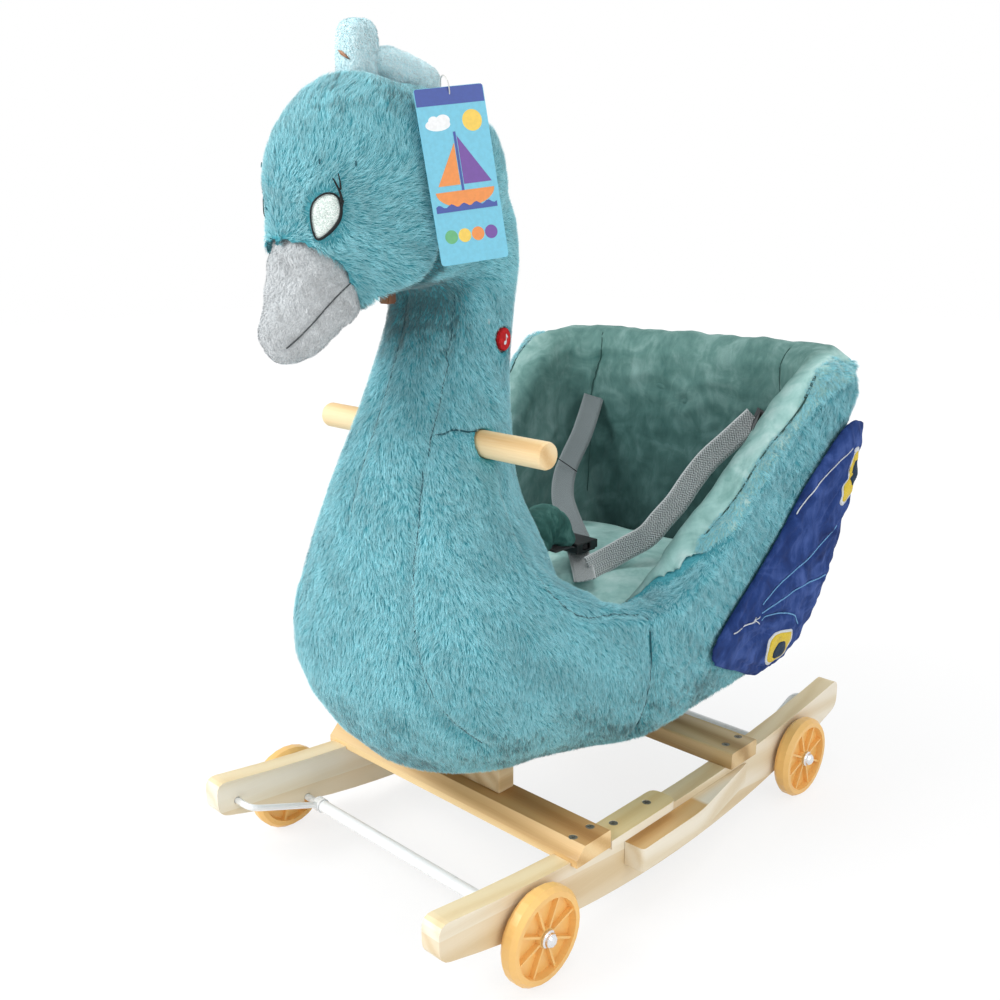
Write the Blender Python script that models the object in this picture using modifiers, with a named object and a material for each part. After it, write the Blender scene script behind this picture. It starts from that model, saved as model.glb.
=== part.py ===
"""Plush bird rocker with fold-away wheels. Metres, +Z up, the bird looks along -Y, its left side is +X.

The wooden rocker frame stands on four wheels. Each axle hangs on two bent arms that turn in the runners,
so it swings round the end of the runners to lie on top of them, and the toy then rocks on its runners.
"""

import math

import bmesh
import bpy
from mathutils import Matrix, Vector

# Clearances
GAP = 0.0003
RUNNING = 0.0005

# Wheels and axles
WHEEL_RADIUS = 0.045
WHEEL_WIDTH = 0.017
WHEEL_BASE = 0.440
WHEEL_CLEARANCE = 0.0045
WHEEL_RIBS = 8
WHEEL_STEPS = 28
RIM_DEPTH = 0.0085
DRAFT = 0.001
WEB_THICKNESS = 0.003
RIB_THICKNESS = 0.0022
TREAD_CHAMFER = 0.0035
TREAD_SHOULDER = 0.0045
HUB_RADIUS = 0.0095
HUB_INSET = 0.0015
AXLE_RADIUS = 0.0035
AXLE_BORE_RADIUS = AXLE_RADIUS + RUNNING
SLEEVE_RADIUS = 0.0062
HUB_CAP_RADIUS = 0.0082
HUB_CAP_HEIGHT = 0.0085
HUB_CAP_CROWN = 0.0035
HUB_CAP_FLANGE = 0.0018
HUB_CAP_SHOULDER = 0.003
HUB_CAP_STEP = 0.0014
ARM_INSET = 0.023
ARM_RADIUS = 0.0032
ARM_EYE_RADIUS = 0.0075
ARM_EYE_WIDTH = 0.009
ARM_BEND = 0.012

# Rocker frame
FRAME_Y = 0.003
RUNNER_HALF_LENGTH = 0.326
RUNNER_INNER_X = 0.150
RUNNER_THICKNESS = 0.021
ROCKER_RADIUS = 1.15
ROCKER_LOW_Z = 0.0195
RUNNER_TOP_RADIUS = 2.2
RUNNER_TOP_LOW_Z = 0.0775
RUNNER_END_ROUND = 0.012
PIVOT_INSET = 0.022
PIVOT_DROP = 0.0035
PIVOT_DEPTH = 0.014
SEAT_CUT = 0.0005
BAR_THICKNESS = 0.018
BAR_WIDTH = 0.048
BAR_OVERHANG = 0.007
BAR_CHAMFER = 0.011
BAR_EDGE = 0.0015
FRONT_BAR_Y = -0.139
REAR_BAR_Y = 0.111
SCREW_HEAD_RADIUS = 0.0045
SCREW_HEAD_DEPTH = 0.003
SCREW_PITCH = 0.024
SCREW_SETBACK = 0.003

# Footrests
REST_WIDTH = 0.030
REST_THICKNESS = 0.009
REST_REAR_Y = -0.012
REST_CORNER = 0.010
REST_SCREW_PITCH = 0.052
PLATE_REACH = 0.022
PLATE_LOW_Z = 0.046
PLATE_HEIGHT = 0.024
PLATE_FRONT_Y = -0.085
PLATE_SHOULDER_Y = 0.012
PLATE_TAIL_Y = 0.125
PLATE_CORNER = 0.005
PLATE_TAIL_WIDTH = 0.002
PLATE_SWEEP = 0.020

# Boards inside the toy
SUPPORT_HALF_WIDTH = 0.060
SUPPORT_THICKNESS = 0.021
SUPPORT_Y = -0.130
REAR_SUPPORT_Y = 0.108
SEAT_BOARD_Z = 0.222
SEAT_BOARD_THICKNESS = 0.012
SEAT_BOARD_HALF_WIDTH = 0.105
SEAT_BOARD_FRONT_Y = -0.020
SEAT_BOARD_REAR_Y = 0.195
TONGUE_HALF_WIDTH = 0.045
NECK_BOARD_THICKNESS = 0.018
NECK_BOARD_FRONT_Y = -0.192
NECK_BOARD_REAR_Y = -0.112
NECK_BOARD_TOP_Z = 0.560
NECK_BOARD_NOSE = 0.035
NECK_BOARD_FRONT_BEND_Z = 0.440
NECK_BOARD_REAR_BEND_Z = 0.420
NECK_BOARD_LEAN = 0.004

# Handle
HANDLE_RADIUS = 0.012
HANDLE_HALF_LENGTH = 0.146
HANDLE_Y = -0.167
HANDLE_Z = 0.451
HANDLE_ROUND = 0.003
HANDLE_SIDES = 28

# Seat tub, outer skin: height, front y, rear y, then the half widths at the chest, the legs and the rear
TUB_LEVELS = ((0.1145, -0.165, 0.150, 0.045, 0.100, 0.100), (0.122, -0.190, 0.183, 0.066, 0.118, 0.118),
              (0.135, -0.216, 0.204, 0.088, 0.134, 0.136), (0.160, -0.246, 0.222, 0.112, 0.150, 0.153),
              (0.200, -0.275, 0.238, 0.131, 0.163, 0.171), (0.250, -0.290, 0.251, 0.139, 0.172, 0.185),
              (0.300, -0.284, 0.260, 0.136, 0.178, 0.194), (0.340, -0.262, 0.266, 0.126, 0.181, 0.200),
              (0.400, -0.210, 0.272, 0.105, 0.185, 0.207), (0.510, -0.200, 0.281, 0.095, 0.190, 0.214))
TUB_BOTTOM_Z = 0.1145
# Seat tub, inside of the wall at rim height: half outline (x, y) from the front centre to the rear centre
TUB_INNER = ((0.0, -0.036), (0.030, -0.0365), (0.058, -0.037), (0.082, -0.036), (0.103, -0.030),
             (0.120, -0.010), (0.132, 0.022), (0.1545, 0.110), (0.166, 0.180), (0.160, 0.218),
             (0.125, 0.238), (0.062, 0.243), (0.0, 0.243))
INNER_PIVOT_Y = -0.030
# Height, then the share of the inside outline's width and length kept at that height
INNER_LEVELS = ((0.220, 0.90, 0.92), (0.300, 0.93, 0.95), (0.420, 0.98, 0.985), (0.510, 1.0, 1.0))
# Side view of the rim (y, z): down from the neck to the legs, then up round the back
RIM_LINE = ((-0.210, 0.420), (-0.165, 0.385), (-0.145, 0.335), (-0.125, 0.300), (-0.100, 0.281),
            (-0.070, 0.275), (-0.040, 0.277), (-0.010, 0.291), (0.040, 0.340), (0.080, 0.390),
            (0.137, 0.450), (0.190, 0.492), (0.230, 0.503), (0.290, 0.505))
FACING = 0.016
RIDGE_PLACE = 0.8
RIDGE_SWELL = 0.006
COVER_FRONT_Y = -0.015
COVER_FULL_Y = 0.070
RIM_ROLL = 0.020
TUB_STEPS = 48
LINER_THICKNESS = 0.005
CUSHION_THICKNESS = 0.0304
CUSHION_CROWN = 0.007
CUSHION_SIDE_GAP = 0.0012

# Chest and neck rings: height, centre y, half length, half width
NECK_RINGS = ((0.235, -0.163, 0.112, 0.112), (0.270, -0.163, 0.120, 0.122), (0.310, -0.164, 0.119, 0.121),
              (0.360, -0.165, 0.108, 0.110), (0.400, -0.168, 0.096, 0.094), (0.440, -0.166, 0.082, 0.080),
              (0.480, -0.158, 0.070, 0.069), (0.520, -0.148, 0.063, 0.062), (0.560, -0.137, 0.059, 0.058),
              (0.600, -0.131, 0.060, 0.058))
NECK_JOIN_Z = 0.600

# Head rings: height, centre y, half length, half width
HEAD_RINGS = ((0.582, -0.222, 0.040, 0.034), (0.590, -0.217, 0.072, 0.056), (0.605, -0.212, 0.094, 0.070),
              (0.630, -0.207, 0.110, 0.080), (0.662, -0.205, 0.116, 0.084), (0.695, -0.205, 0.112, 0.081),
              (0.724, -0.206, 0.098, 0.071), (0.745, -0.207, 0.076, 0.055), (0.757, -0.207, 0.046, 0.034),
              (0.761, -0.207, 0.018, 0.014))
NAPE_RINGS = ((0.6003, -0.131, 0.060, 0.058), (0.640, -0.136, 0.061, 0.058), (0.680, -0.150, 0.056, 0.054))
HEAD_STEPS = 32

# Beak rings along its axis: y, z of the centre, half width, half depth
BEAK_RINGS = ((-0.280, 0.622, 0.034, 0.030), (-0.292, 0.604, 0.037, 0.031), (-0.303, 0.580, 0.033, 0.028),
              (-0.311, 0.558, 0.027, 0.0215), (-0.315, 0.541, 0.020, 0.0155), (-0.3165, 0.532, 0.010, 0.008))

# Crest, button, tag, harness
BUTTON_Z = 0.537
BUTTON_RADIUS = 0.0100
BUTTON_HEIGHT = 0.0045
BUTTON_TRAVEL = 0.0015
BUTTON_AZIMUTH = math.radians(15)
MODULE_SIZE = (0.014, 0.034, 0.038)
TAG_WIDTH = 0.056
TAG_HEIGHT = 0.131
TAG_THICKNESS = 0.0006
TAG_TOP = (0.088, -0.2195, 0.737)
TAG_TURN = math.radians(65)
TAG_TILT = math.radians(6)
TAG_ROLL = math.radians(10)
TAG_HOLE_DROP = 0.006
TAG_HOLE_RADIUS = 0.0026
TAG_LOOP_RADIUS = 0.0095
TAG_LOOP_OVERLAP = 0.0022
TAG_WIRE_RADIUS = 0.0005
WEBBING_WIDTH = 0.025
WEBBING_THICKNESS = 0.0015
BUCKLE_CENTRE = (0.0, 0.040, 0.300)
BUCKLE_SIZE = (0.034, 0.030, 0.011)
BUCKLE_WALL = 0.0022
BUCKLE_NOSE = 0.006
BUCKLE_WINDOW = 0.012
BUCKLE_GUIDE_HALF_WIDTH = 0.0018
BUCKLE_GUIDE_REACH = 0.006
PLUG_BAR_LENGTH = 0.0035
PLUG_BAR_INSET = 0.001
WING_THICKNESS = 0.012
WING_GAP = 0.0010
WING_FLARE = 0.008
WING_FLARE_FROM = 0.64
WING_FLARE_TO = 0.77

# Colours: RGB, roughness, metallic
FINISHES = {
    "fur": ((0.10, 0.32, 0.36), 0.9, 0.0),
    "velvet": ((0.12, 0.28, 0.25), 0.8, 0.0),
    "beak_plush": ((0.52, 0.56, 0.57), 0.9, 0.0),
    "crest_velvet": ((0.52, 0.77, 0.82), 0.8, 0.0),
    "wing_velvet": ((0.04, 0.06, 0.30), 0.8, 0.0),
    "pale_pine": ((0.79, 0.64, 0.38), 0.55, 0.0),
    "brown_pine": ((0.52, 0.29, 0.11), 0.55, 0.0),
    "plywood": ((0.62, 0.45, 0.26), 0.7, 0.0),
    "wheel_plastic": ((0.91, 0.46, 0.09), 0.35, 0.0),
    "white_steel": ((0.85, 0.86, 0.86), 0.35, 0.0),
    "cap_steel": ((0.80, 0.80, 0.82), 0.25, 1.0),
    "webbing": ((0.28, 0.33, 0.33), 0.8, 0.0),
    "black_plastic": ((0.02, 0.02, 0.022), 0.4, 0.0),
    "red_felt": ((0.60, 0.03, 0.04), 0.8, 0.0),
    "module_plastic": ((0.70, 0.70, 0.68), 0.5, 0.0),
    "tag_card": ((0.20, 0.55, 0.75), 0.4, 0.0),
}

for old in list(bpy.data.objects):
    bpy.data.objects.remove(old, do_unlink=True)

PARTS = bpy.data.collections.new("plush_rocker")
CUTTERS = bpy.data.collections.new("cutters")
bpy.context.scene.collection.children.link(PARTS)
bpy.context.scene.collection.children.link(CUTTERS)


# Helpers

def finish_material(name, key):
    colour, roughness, metallic = FINISHES[key]
    material = bpy.data.materials.new(name)
    material.use_nodes = True
    shader = material.node_tree.nodes["Principled BSDF"]
    shader.inputs["Base Color"].default_value = (*colour, 1.0)
    shader.inputs["Roughness"].default_value = roughness
    shader.inputs["Metallic"].default_value = metallic
    material.diffuse_color = (*colour, 1.0)
    return material


def add_mesh(name, mesh, finish):
    obj = bpy.data.objects.new(name, mesh)
    PARTS.objects.link(obj)
    mesh.materials.clear()
    mesh.materials.append(finish_material(name, finish))
    return obj


def mesh_of(bm, name):
    bmesh.ops.recalc_face_normals(bm, faces=bm.faces)
    mesh = bpy.data.meshes.new(name)
    bm.to_mesh(mesh)
    bm.free()
    return mesh


def shade(obj, angle=40):
    obj.data.shade_smooth()
    obj.data.set_sharp_from_angle(angle=math.radians(angle))


def helper(name, mesh):
    obj = bpy.data.objects.new(name, mesh)
    CUTTERS.objects.link(obj)
    obj.hide_render = True
    obj.display_type = "WIRE"
    return obj


def bool_modifier(obj, other, operation):
    modifier = obj.modifiers.new(f"{operation.lower()} {other.name}", "BOOLEAN")
    modifier.operation = operation
    modifier.object = other
    modifier.solver = "EXACT"


def cut(obj, cutter):
    bool_modifier(obj, cutter, "DIFFERENCE")


def join(obj, other):
    bool_modifier(obj, other, "UNION")


def box_mesh(name, low, high):
    bm = bmesh.new()
    size = [b - a for a, b in zip(low, high)]
    centre = [(a + b) / 2 for a, b in zip(low, high)]
    bmesh.ops.create_cube(bm, size=1.0, matrix=Matrix.Translation(centre) @ Matrix.Diagonal((*size, 1)))
    return mesh_of(bm, name)


def box(name, low, high, finish, edge=0.0):
    obj = add_mesh(name, box_mesh(name, low, high), finish)
    if edge:
        bevel(obj, edge)
    return obj


def bevel(obj, width, segments=2, angle=30):
    modifier = obj.modifiers.new("rounded edges", "BEVEL")
    modifier.width = width
    modifier.segments = segments
    modifier.limit_method = "ANGLE"
    modifier.angle_limit = math.radians(angle)


def box_cutter(name, low, high):
    return helper(name, box_mesh(name, low, high))


def rod_mesh(name, start, end, radius, sides=20):
    """A closed cylinder from start to end."""
    start, end = Vector(start), Vector(end)
    axis = end - start
    turn = axis.to_track_quat("Z", "Y").to_matrix().to_4x4()
    bm = bmesh.new()
    bmesh.ops.create_cone(bm, cap_ends=True, segments=sides, radius1=radius, radius2=radius,
                          depth=axis.length, matrix=Matrix.Translation((start + end) / 2) @ turn)
    return mesh_of(bm, name)


def rod_cutter(name, start, end, radius, sides=20):
    return helper(name, rod_mesh(name, start, end, radius, sides))


def outline_mesh(name, points, low, high, axes="yz"):
    """A flat closed outline drawn in two axes and extruded along the third, from low to high."""
    curve = bpy.data.curves.new(name, "CURVE")
    curve.dimensions = "2D"
    curve.fill_mode = "BOTH"
    curve.extrude = (high - low) / 2
    spline = curve.splines.new("POLY")
    spline.points.add(len(points) - 1)
    for slot, (a, b) in zip(spline.points, points):
        slot.co = (a, b, 0, 1)
    spline.use_cyclic_u = True
    middle = (low + high) / 2
    if axes == "yz":
        frame = Matrix(((0, 0, 1, middle), (1, 0, 0, 0), (0, 1, 0, 0), (0, 0, 0, 1)))
    elif axes == "xy":
        frame = Matrix(((1, 0, 0, 0), (0, 1, 0, 0), (0, 0, 1, middle), (0, 0, 0, 1)))
    else:
        frame = Matrix(((1, 0, 0, 0), (0, 0, -1, middle), (0, 1, 0, 0), (0, 0, 0, 1)))
    guide = bpy.data.objects.new(name + " outline", curve)
    CUTTERS.objects.link(guide)
    return curve_to_mesh(guide, name, frame)


def curve_to_mesh(guide, name, frame=None):
    """The evaluated curve as a welded mesh; the curve object is removed."""
    bpy.context.view_layer.update()
    evaluated = guide.evaluated_get(bpy.context.evaluated_depsgraph_get())
    mesh = bpy.data.meshes.new_from_object(evaluated)
    mesh.name = name
    bpy.data.objects.remove(guide, do_unlink=True)
    if frame is not None:
        mesh.transform(frame)
    bm = bmesh.new()
    bm.from_mesh(mesh)
    bmesh.ops.remove_doubles(bm, verts=bm.verts, dist=0.00001)
    bmesh.ops.recalc_face_normals(bm, faces=bm.faces)
    bm.to_mesh(mesh)
    bm.free()
    return mesh


def bent_rod_mesh(name, points, radius, closed=False):
    """A round wire through the points, or round a closed loop of them."""
    curve = bpy.data.curves.new(name, "CURVE")
    curve.dimensions = "3D"
    curve.bevel_depth = radius
    curve.bevel_resolution = 1 if closed else 2
    curve.use_fill_caps = not closed
    spline = curve.splines.new("POLY")
    spline.points.add(len(points) - 1)
    for slot, point in zip(spline.points, points):
        slot.co = (*point, 1)
    spline.use_cyclic_u = closed
    guide = bpy.data.objects.new(name + " route", curve)
    CUTTERS.objects.link(guide)
    return curve_to_mesh(guide, name)


def catmull(a, b, c, d, t):
    return tuple(0.5 * (2 * q + (r - p) * t + (2 * p - 5 * q + 4 * r - s) * t * t
                        + (3 * q - p - 3 * r + s) * t ** 3) for p, q, r, s in zip(a, b, c, d))


def smooth_line(points, count, closed=False):
    """count points on a Catmull-Rom curve through the given ones, evenly spread between them."""
    points = [tuple(p) for p in points]
    total = len(points)
    spans = total if closed else total - 1
    found = []
    for k in range(count):
        place = k * spans / (count if closed else count - 1)
        i = min(int(place), spans - 1)
        if closed:
            four = [points[(i + j) % total] for j in (-1, 0, 1, 2)]
        else:
            four = [points[min(max(i + j, 0), total - 1)] for j in (-1, 0, 1, 2)]
        found.append(catmull(*four, place - i))
    return found


def between(table, x):
    """The row of a table at x, where the first column rises, smoothed through the rows."""
    rows = [tuple(row) for row in table]
    x = min(max(x, rows[0][0]), rows[-1][0])
    i = max(k for k in range(len(rows) - 1) if rows[k][0] <= x or k == 0)
    t = (x - rows[i][0]) / (rows[i + 1][0] - rows[i][0])
    four = [rows[min(max(i + j, 0), len(rows) - 1)] for j in (-1, 0, 1, 2)]
    return catmull(*four, t)[1:]


def rim_height(y):
    return between(RIM_LINE, y)[0]


def loft_mesh(name, rings):
    """A closed skin over rings of equally many points, with a point fan over each end."""
    bm = bmesh.new()
    rows = [[bm.verts.new(p) for p in ring] for ring in rings]
    count = len(rows[0])
    for low, high in zip(rows, rows[1:]):
        for k in range(count):
            after = (k + 1) % count
            if k < count // 2:
                bm.faces.new((low[k], low[after], high[after]))
                bm.faces.new((low[k], high[after], high[k]))
            else:
                bm.faces.new((low[k], low[after], high[k]))
                bm.faces.new((low[after], high[after], high[k]))
    for row in (rows[0], rows[-1]):
        centre = bm.verts.new(sum((v.co for v in row), Vector()) / count)
        for k in range(count):
            bm.faces.new((row[k], row[(k + 1) % count], centre))
    return mesh_of(bm, name)


def ellipse_ring(z, y, half_length, half_width, steps):
    ring = []
    for k in range(steps):
        angle = 2 * math.pi * k / steps
        ring.append((half_width * math.sin(angle), y - half_length * math.cos(angle), z))
    return ring


def ring_stack(table, steps, count):
    """Horizontal ellipse rings, smoothed through the table's rows, at count heights."""
    rows = smooth_line(table, count)
    return [ellipse_ring(z, y, length, width, steps) for z, y, length, width in rows]


def along_plan(controls, share):
    """A point on the smooth half outline, share of the way from the front centre to the rear centre."""
    spans = len(controls) - 1
    place = share * spans
    i = min(int(place), spans - 1)
    before = (-controls[1][0], controls[1][1])
    after = (-controls[-2][0], controls[-2][1])
    return catmull(*[before, *controls, after][i:i + 4], place - i)


def outer_controls(z):
    """Half outline of the tub's outer skin at height z."""
    front, rear, chest, middle, back = between(TUB_LEVELS, z)
    return ((0.0, front), (0.40 * chest, 0.96 * front), (0.72 * chest, 0.853 * front),
            (0.93 * chest, 0.70 * front), (chest, 0.52 * front), ((chest + middle) / 2, 0.24 * front),
            (middle, 0.0), ((middle + back) / 2, 0.45 * rear), (back, 0.68 * rear),
            (0.95 * back, 0.88 * rear), (0.72 * back, 0.975 * rear), (0.36 * back, rear), (0.0, rear))


def inner_controls(z):
    """Half outline of the inside of the tub's wall at height z."""
    width, length = between(INNER_LEVELS, z)
    return [(x * width, INNER_PIVOT_Y + (y - INNER_PIVOT_Y) * length) for x, y in TUB_INNER]


def ring_place(controls, k):
    """Point k of TUB_STEPS round the closed outline whose half the controls give."""
    share = 2 * k / TUB_STEPS
    x, y = along_plan(controls, share if share <= 1 else 2 - share)
    return (x if share <= 1 else -x, y)


def outer_point(k, z, inset=0.0):
    return toward_inside((*ring_place(outer_controls(z), k), z), inset)


def inner_point(k, z, inset=0.0):
    return toward_inside((*ring_place(inner_controls(z), k), z), inset)


def toward_inside(point, inset):
    """The point moved by inset, in plan, towards the middle of the seat."""
    x, y, z = point
    middle = Vector((0.0, 0.10))
    pull = middle - Vector((x, y))
    pull.normalize()
    return (x + pull.x * inset, y + pull.y * inset, z)


def rim_point(place, k, drop, inset=0.0):
    """Point k on the rim line, lowered by drop."""
    z = rim_height(place(k, 0.40)[1]) - drop
    for _ in range(9):
        z = (z + rim_height(place(k, z)[1]) - drop) / 2
    return place(k, z, inset)


def velvet_share(k):
    """How much of the wall's top the velvet covers: none at the legs, all of it round the back."""
    y = inner_point(k, 0.40)[1]
    t = min(max((y - COVER_FRONT_Y) / (COVER_FULL_Y - COVER_FRONT_Y), 0.0), 1.0)
    return t * t * (3 - 2 * t)


def wall_drop(k, facing):
    """How far the stuffed wall stops below the rim line; the fur facing at the legs slopes down inside."""
    cover = velvet_share(k)
    return RIM_ROLL * cover + facing * (1 - cover)


def level_rings(place, low_z, top_ring, count, inset=0.0):
    """Rings from a flat one at low_z up to just under a ring that follows the rim."""
    rings = []
    for step in range(count):
        share = step / count
        ring = []
        for k in range(TUB_STEPS):
            z = low_z + (top_ring[k][2] - low_z) * share
            ring.append(place(k, z, inset))
        rings.append(ring)
    return rings


# Rocker frame

RUNNER_FRONT_Y = FRAME_Y - RUNNER_HALF_LENGTH
RUNNER_REAR_Y = FRAME_Y + RUNNER_HALF_LENGTH
RUNNER_OUTER_X = RUNNER_INNER_X + RUNNER_THICKNESS
BAR_HALF_LENGTH = RUNNER_OUTER_X + BAR_OVERHANG
WHEEL_X = RUNNER_OUTER_X + WHEEL_CLEARANCE + WHEEL_WIDTH / 2
ARM_X = RUNNER_INNER_X - ARM_INSET
FRONT_PIVOT_Y = RUNNER_FRONT_Y + PIVOT_INSET
REAR_PIVOT_Y = RUNNER_REAR_Y - PIVOT_INSET
FRONT_AXLE_Y = FRAME_Y - WHEEL_BASE / 2
REAR_AXLE_Y = FRAME_Y + WHEEL_BASE / 2


def rocker_z(y):
    return ROCKER_LOW_Z + ROCKER_RADIUS - math.sqrt(ROCKER_RADIUS ** 2 - (y - FRAME_Y) ** 2)


def runner_top_z(y):
    return RUNNER_TOP_LOW_Z + RUNNER_TOP_RADIUS - math.sqrt(RUNNER_TOP_RADIUS ** 2 - (y - FRAME_Y) ** 2)


PIVOT_Z = (rocker_z(FRONT_PIVOT_Y) + runner_top_z(FRONT_PIVOT_Y)) / 2 - PIVOT_DROP


def rounded_corner(corner, before, after, radius, steps=4):
    """Arc points that round an outline's corner between its two neighbours."""
    corner, before, after = Vector(corner), Vector(before), Vector(after)
    start = corner + (before - corner).normalized() * radius
    end = corner + (after - corner).normalized() * radius
    points = []
    for k in range(steps + 1):
        t = k / steps
        points.append(tuple(start * (1 - t) ** 2 + corner * 2 * t * (1 - t) + end * t * t))
    return points


def runner_outline():
    """Side view of a runner, with flat seats for the bars and the footrest and notches for the axles."""
    front, rear = RUNNER_FRONT_Y, RUNNER_REAR_Y
    first, last = front + RUNNER_END_ROUND, rear - RUNNER_END_ROUND
    bottom = [axle_notch(FRONT_AXLE_Y), axle_notch(REAR_AXLE_Y)]
    for k in range(1, 20):
        y = first + (last - first) * k / 20
        if min(abs(y - FRONT_AXLE_Y), abs(y - REAR_AXLE_Y)) > 0.009:
            bottom.append([(y, rocker_z(y))])
    bottom = [point for run in sorted(bottom) for point in run]
    places = [first + (last - first) * k / 13 for k in range(1, 13)]
    for middle in (FRONT_BAR_Y, REAR_BAR_Y):
        for side in (-1, 1):
            edge = middle + side * (BAR_WIDTH / 2 + GAP)
            places += [edge - 0.00005, edge + 0.00005]
    places += [REST_REAR_Y, REST_REAR_Y + 2 * GAP]
    top = [(y, seated_top_z(y)) for y in sorted(places, reverse=True)]
    low_front, high_front = (front, rocker_z(front)), (front, runner_top_z(front))
    low_rear, high_rear = (rear, rocker_z(rear)), (rear, runner_top_z(rear))
    return (rounded_corner(low_front, high_front, bottom[0], RUNNER_END_ROUND) + bottom
            + rounded_corner(low_rear, bottom[-1], high_rear, RUNNER_END_ROUND)
            + rounded_corner(high_rear, low_rear, top[0], RUNNER_END_ROUND) + top
            + rounded_corner(high_front, top[-1], low_front, RUNNER_END_ROUND))


def axle_notch(axle_y):
    """Round-topped notch for the axle in the runner's underside, read from front to rear."""
    radius = AXLE_RADIUS + RUNNING
    points = [(axle_y - radius, rocker_z(axle_y))]
    for k in range(7):
        angle = math.pi * (1 - k / 6)
        points.append((axle_y + radius * math.cos(angle), WHEEL_RADIUS + radius * math.sin(angle)))
    return points + [(axle_y + radius, rocker_z(axle_y))]


FRONT_BAR_SEAT_Z = runner_top_z(FRONT_BAR_Y + BAR_WIDTH / 2) - SEAT_CUT
REAR_BAR_SEAT_Z = runner_top_z(REAR_BAR_Y - BAR_WIDTH / 2) - SEAT_CUT
REST_FRONT_Y = FRONT_BAR_Y + BAR_WIDTH / 2 + GAP
REST_SEAT_Z = runner_top_z(REST_REAR_Y)


def seated_top_z(y):
    """Height of the runner's top, with flat seats for the two bars and the footrest."""
    z = runner_top_z(y)
    for middle, seat_z in ((FRONT_BAR_Y, FRONT_BAR_SEAT_Z), (REAR_BAR_Y, REAR_BAR_SEAT_Z)):
        if abs(y - middle) < BAR_WIDTH / 2 + GAP:
            return min(z, seat_z)
    return min(z, REST_SEAT_Z) if REST_FRONT_Y < y < REST_REAR_Y + GAP else z


def build_runner(side, label):
    low, high = sorted((side * RUNNER_INNER_X, side * RUNNER_OUTER_X))
    runner = add_mesh(f"{label}_runner", outline_mesh(f"{label}_runner", runner_outline(), low, high),
                      "pale_pine")
    for end, pivot_y in (("front", FRONT_PIVOT_Y), ("rear", REAR_PIVOT_Y)):
        start = (side * (RUNNER_INNER_X - 0.002), pivot_y, PIVOT_Z)
        stop = (side * (RUNNER_INNER_X + PIVOT_DEPTH), pivot_y, PIVOT_Z)
        cut(runner, rod_cutter(f"{label} {end} pivot hole", start, stop, ARM_RADIUS + RUNNING, 16))
    bevel(runner, 0.0012, 1, 60)


def bar_top_z(seat_z):
    return seat_z + GAP + BAR_THICKNESS


def build_bar(name, bar_y, seat_z, finish, chamfered):
    low_y, high_y = bar_y - BAR_WIDTH / 2, bar_y + BAR_WIDTH / 2
    low_z, top_z = seat_z + GAP, bar_top_z(seat_z)
    low_chamfer = BAR_CHAMFER if chamfered else BAR_EDGE
    section = [(low_y, low_z), (high_y, low_z), (high_y, top_z - BAR_EDGE), (high_y - BAR_EDGE, top_z),
               (low_y + low_chamfer, top_z), (low_y, top_z - low_chamfer)]
    bar = add_mesh(name, outline_mesh(name, section, -BAR_HALF_LENGTH, BAR_HALF_LENGTH), finish)
    for side in (-1, 1):
        for step in (-0.5, 0.5):
            x = side * (RUNNER_INNER_X + RUNNER_THICKNESS / 2)
            y = bar_y + SCREW_SETBACK + step * SCREW_PITCH
            start = (x, y, top_z - SCREW_HEAD_DEPTH)
            cut(bar, rod_cutter(f"{name} screw {side} {step}", start, (x, y, top_z + 0.002),
                                SCREW_HEAD_RADIUS, 14))


def build_footrest(side, label):
    front = REST_FRONT_Y + GAP
    low, high = RUNNER_INNER_X - 0.001, RUNNER_INNER_X - 0.001 + REST_WIDTH
    plan = [(low, front), (high, front)]
    plan += rounded_corner((high, REST_REAR_Y), (high, front), (low, REST_REAR_Y), REST_CORNER)
    plan += rounded_corner((low, REST_REAR_Y), (high, REST_REAR_Y), (low, front), REST_CORNER)
    plan = [(side * x, y) for x, y in plan]
    base = REST_SEAT_Z + GAP
    top = base + REST_THICKNESS
    rest = add_mesh(f"{label}_footrest", outline_mesh(f"{label}_footrest", plan, base, top, "xy"),
                    "pale_pine")
    middle = (front + REST_REAR_Y) / 2
    for step in (-0.5, 0.5):
        x, y = side * (RUNNER_INNER_X + RUNNER_THICKNESS / 2), middle + step * REST_SCREW_PITCH
        cut(rest, rod_cutter(f"{label} rest screw {step}", (x, y, top - SCREW_HEAD_DEPTH),
                             (x, y, top + 0.002), SCREW_HEAD_RADIUS, 14))
    bevel(rest, 0.001, 1, 50)


def build_foot_plate(side, label):
    """Outer step on the runner's face, tapering into the runner behind."""
    near = RUNNER_OUTER_X + GAP
    far = near + PLATE_REACH
    front, shoulder = (far, PLATE_FRONT_Y), (far, PLATE_SHOULDER_Y)
    tail = (near + PLATE_TAIL_WIDTH, PLATE_TAIL_Y)
    plan = [(near, PLATE_FRONT_Y)]
    plan += rounded_corner(front, plan[0], shoulder, PLATE_CORNER)
    plan += rounded_corner(shoulder, front, tail, PLATE_SWEEP)
    plan += [tail, (near, PLATE_TAIL_Y)]
    plan = [(side * x, y) for x, y in plan]
    plate = add_mesh(f"{label}_foot_plate",
                     outline_mesh(f"{label}_foot_plate", plan, PLATE_LOW_Z, PLATE_LOW_Z + PLATE_HEIGHT, "xy"),
                     "brown_pine")
    bevel(plate, 0.0015, 2, 50)


# Wheels and axles

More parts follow.
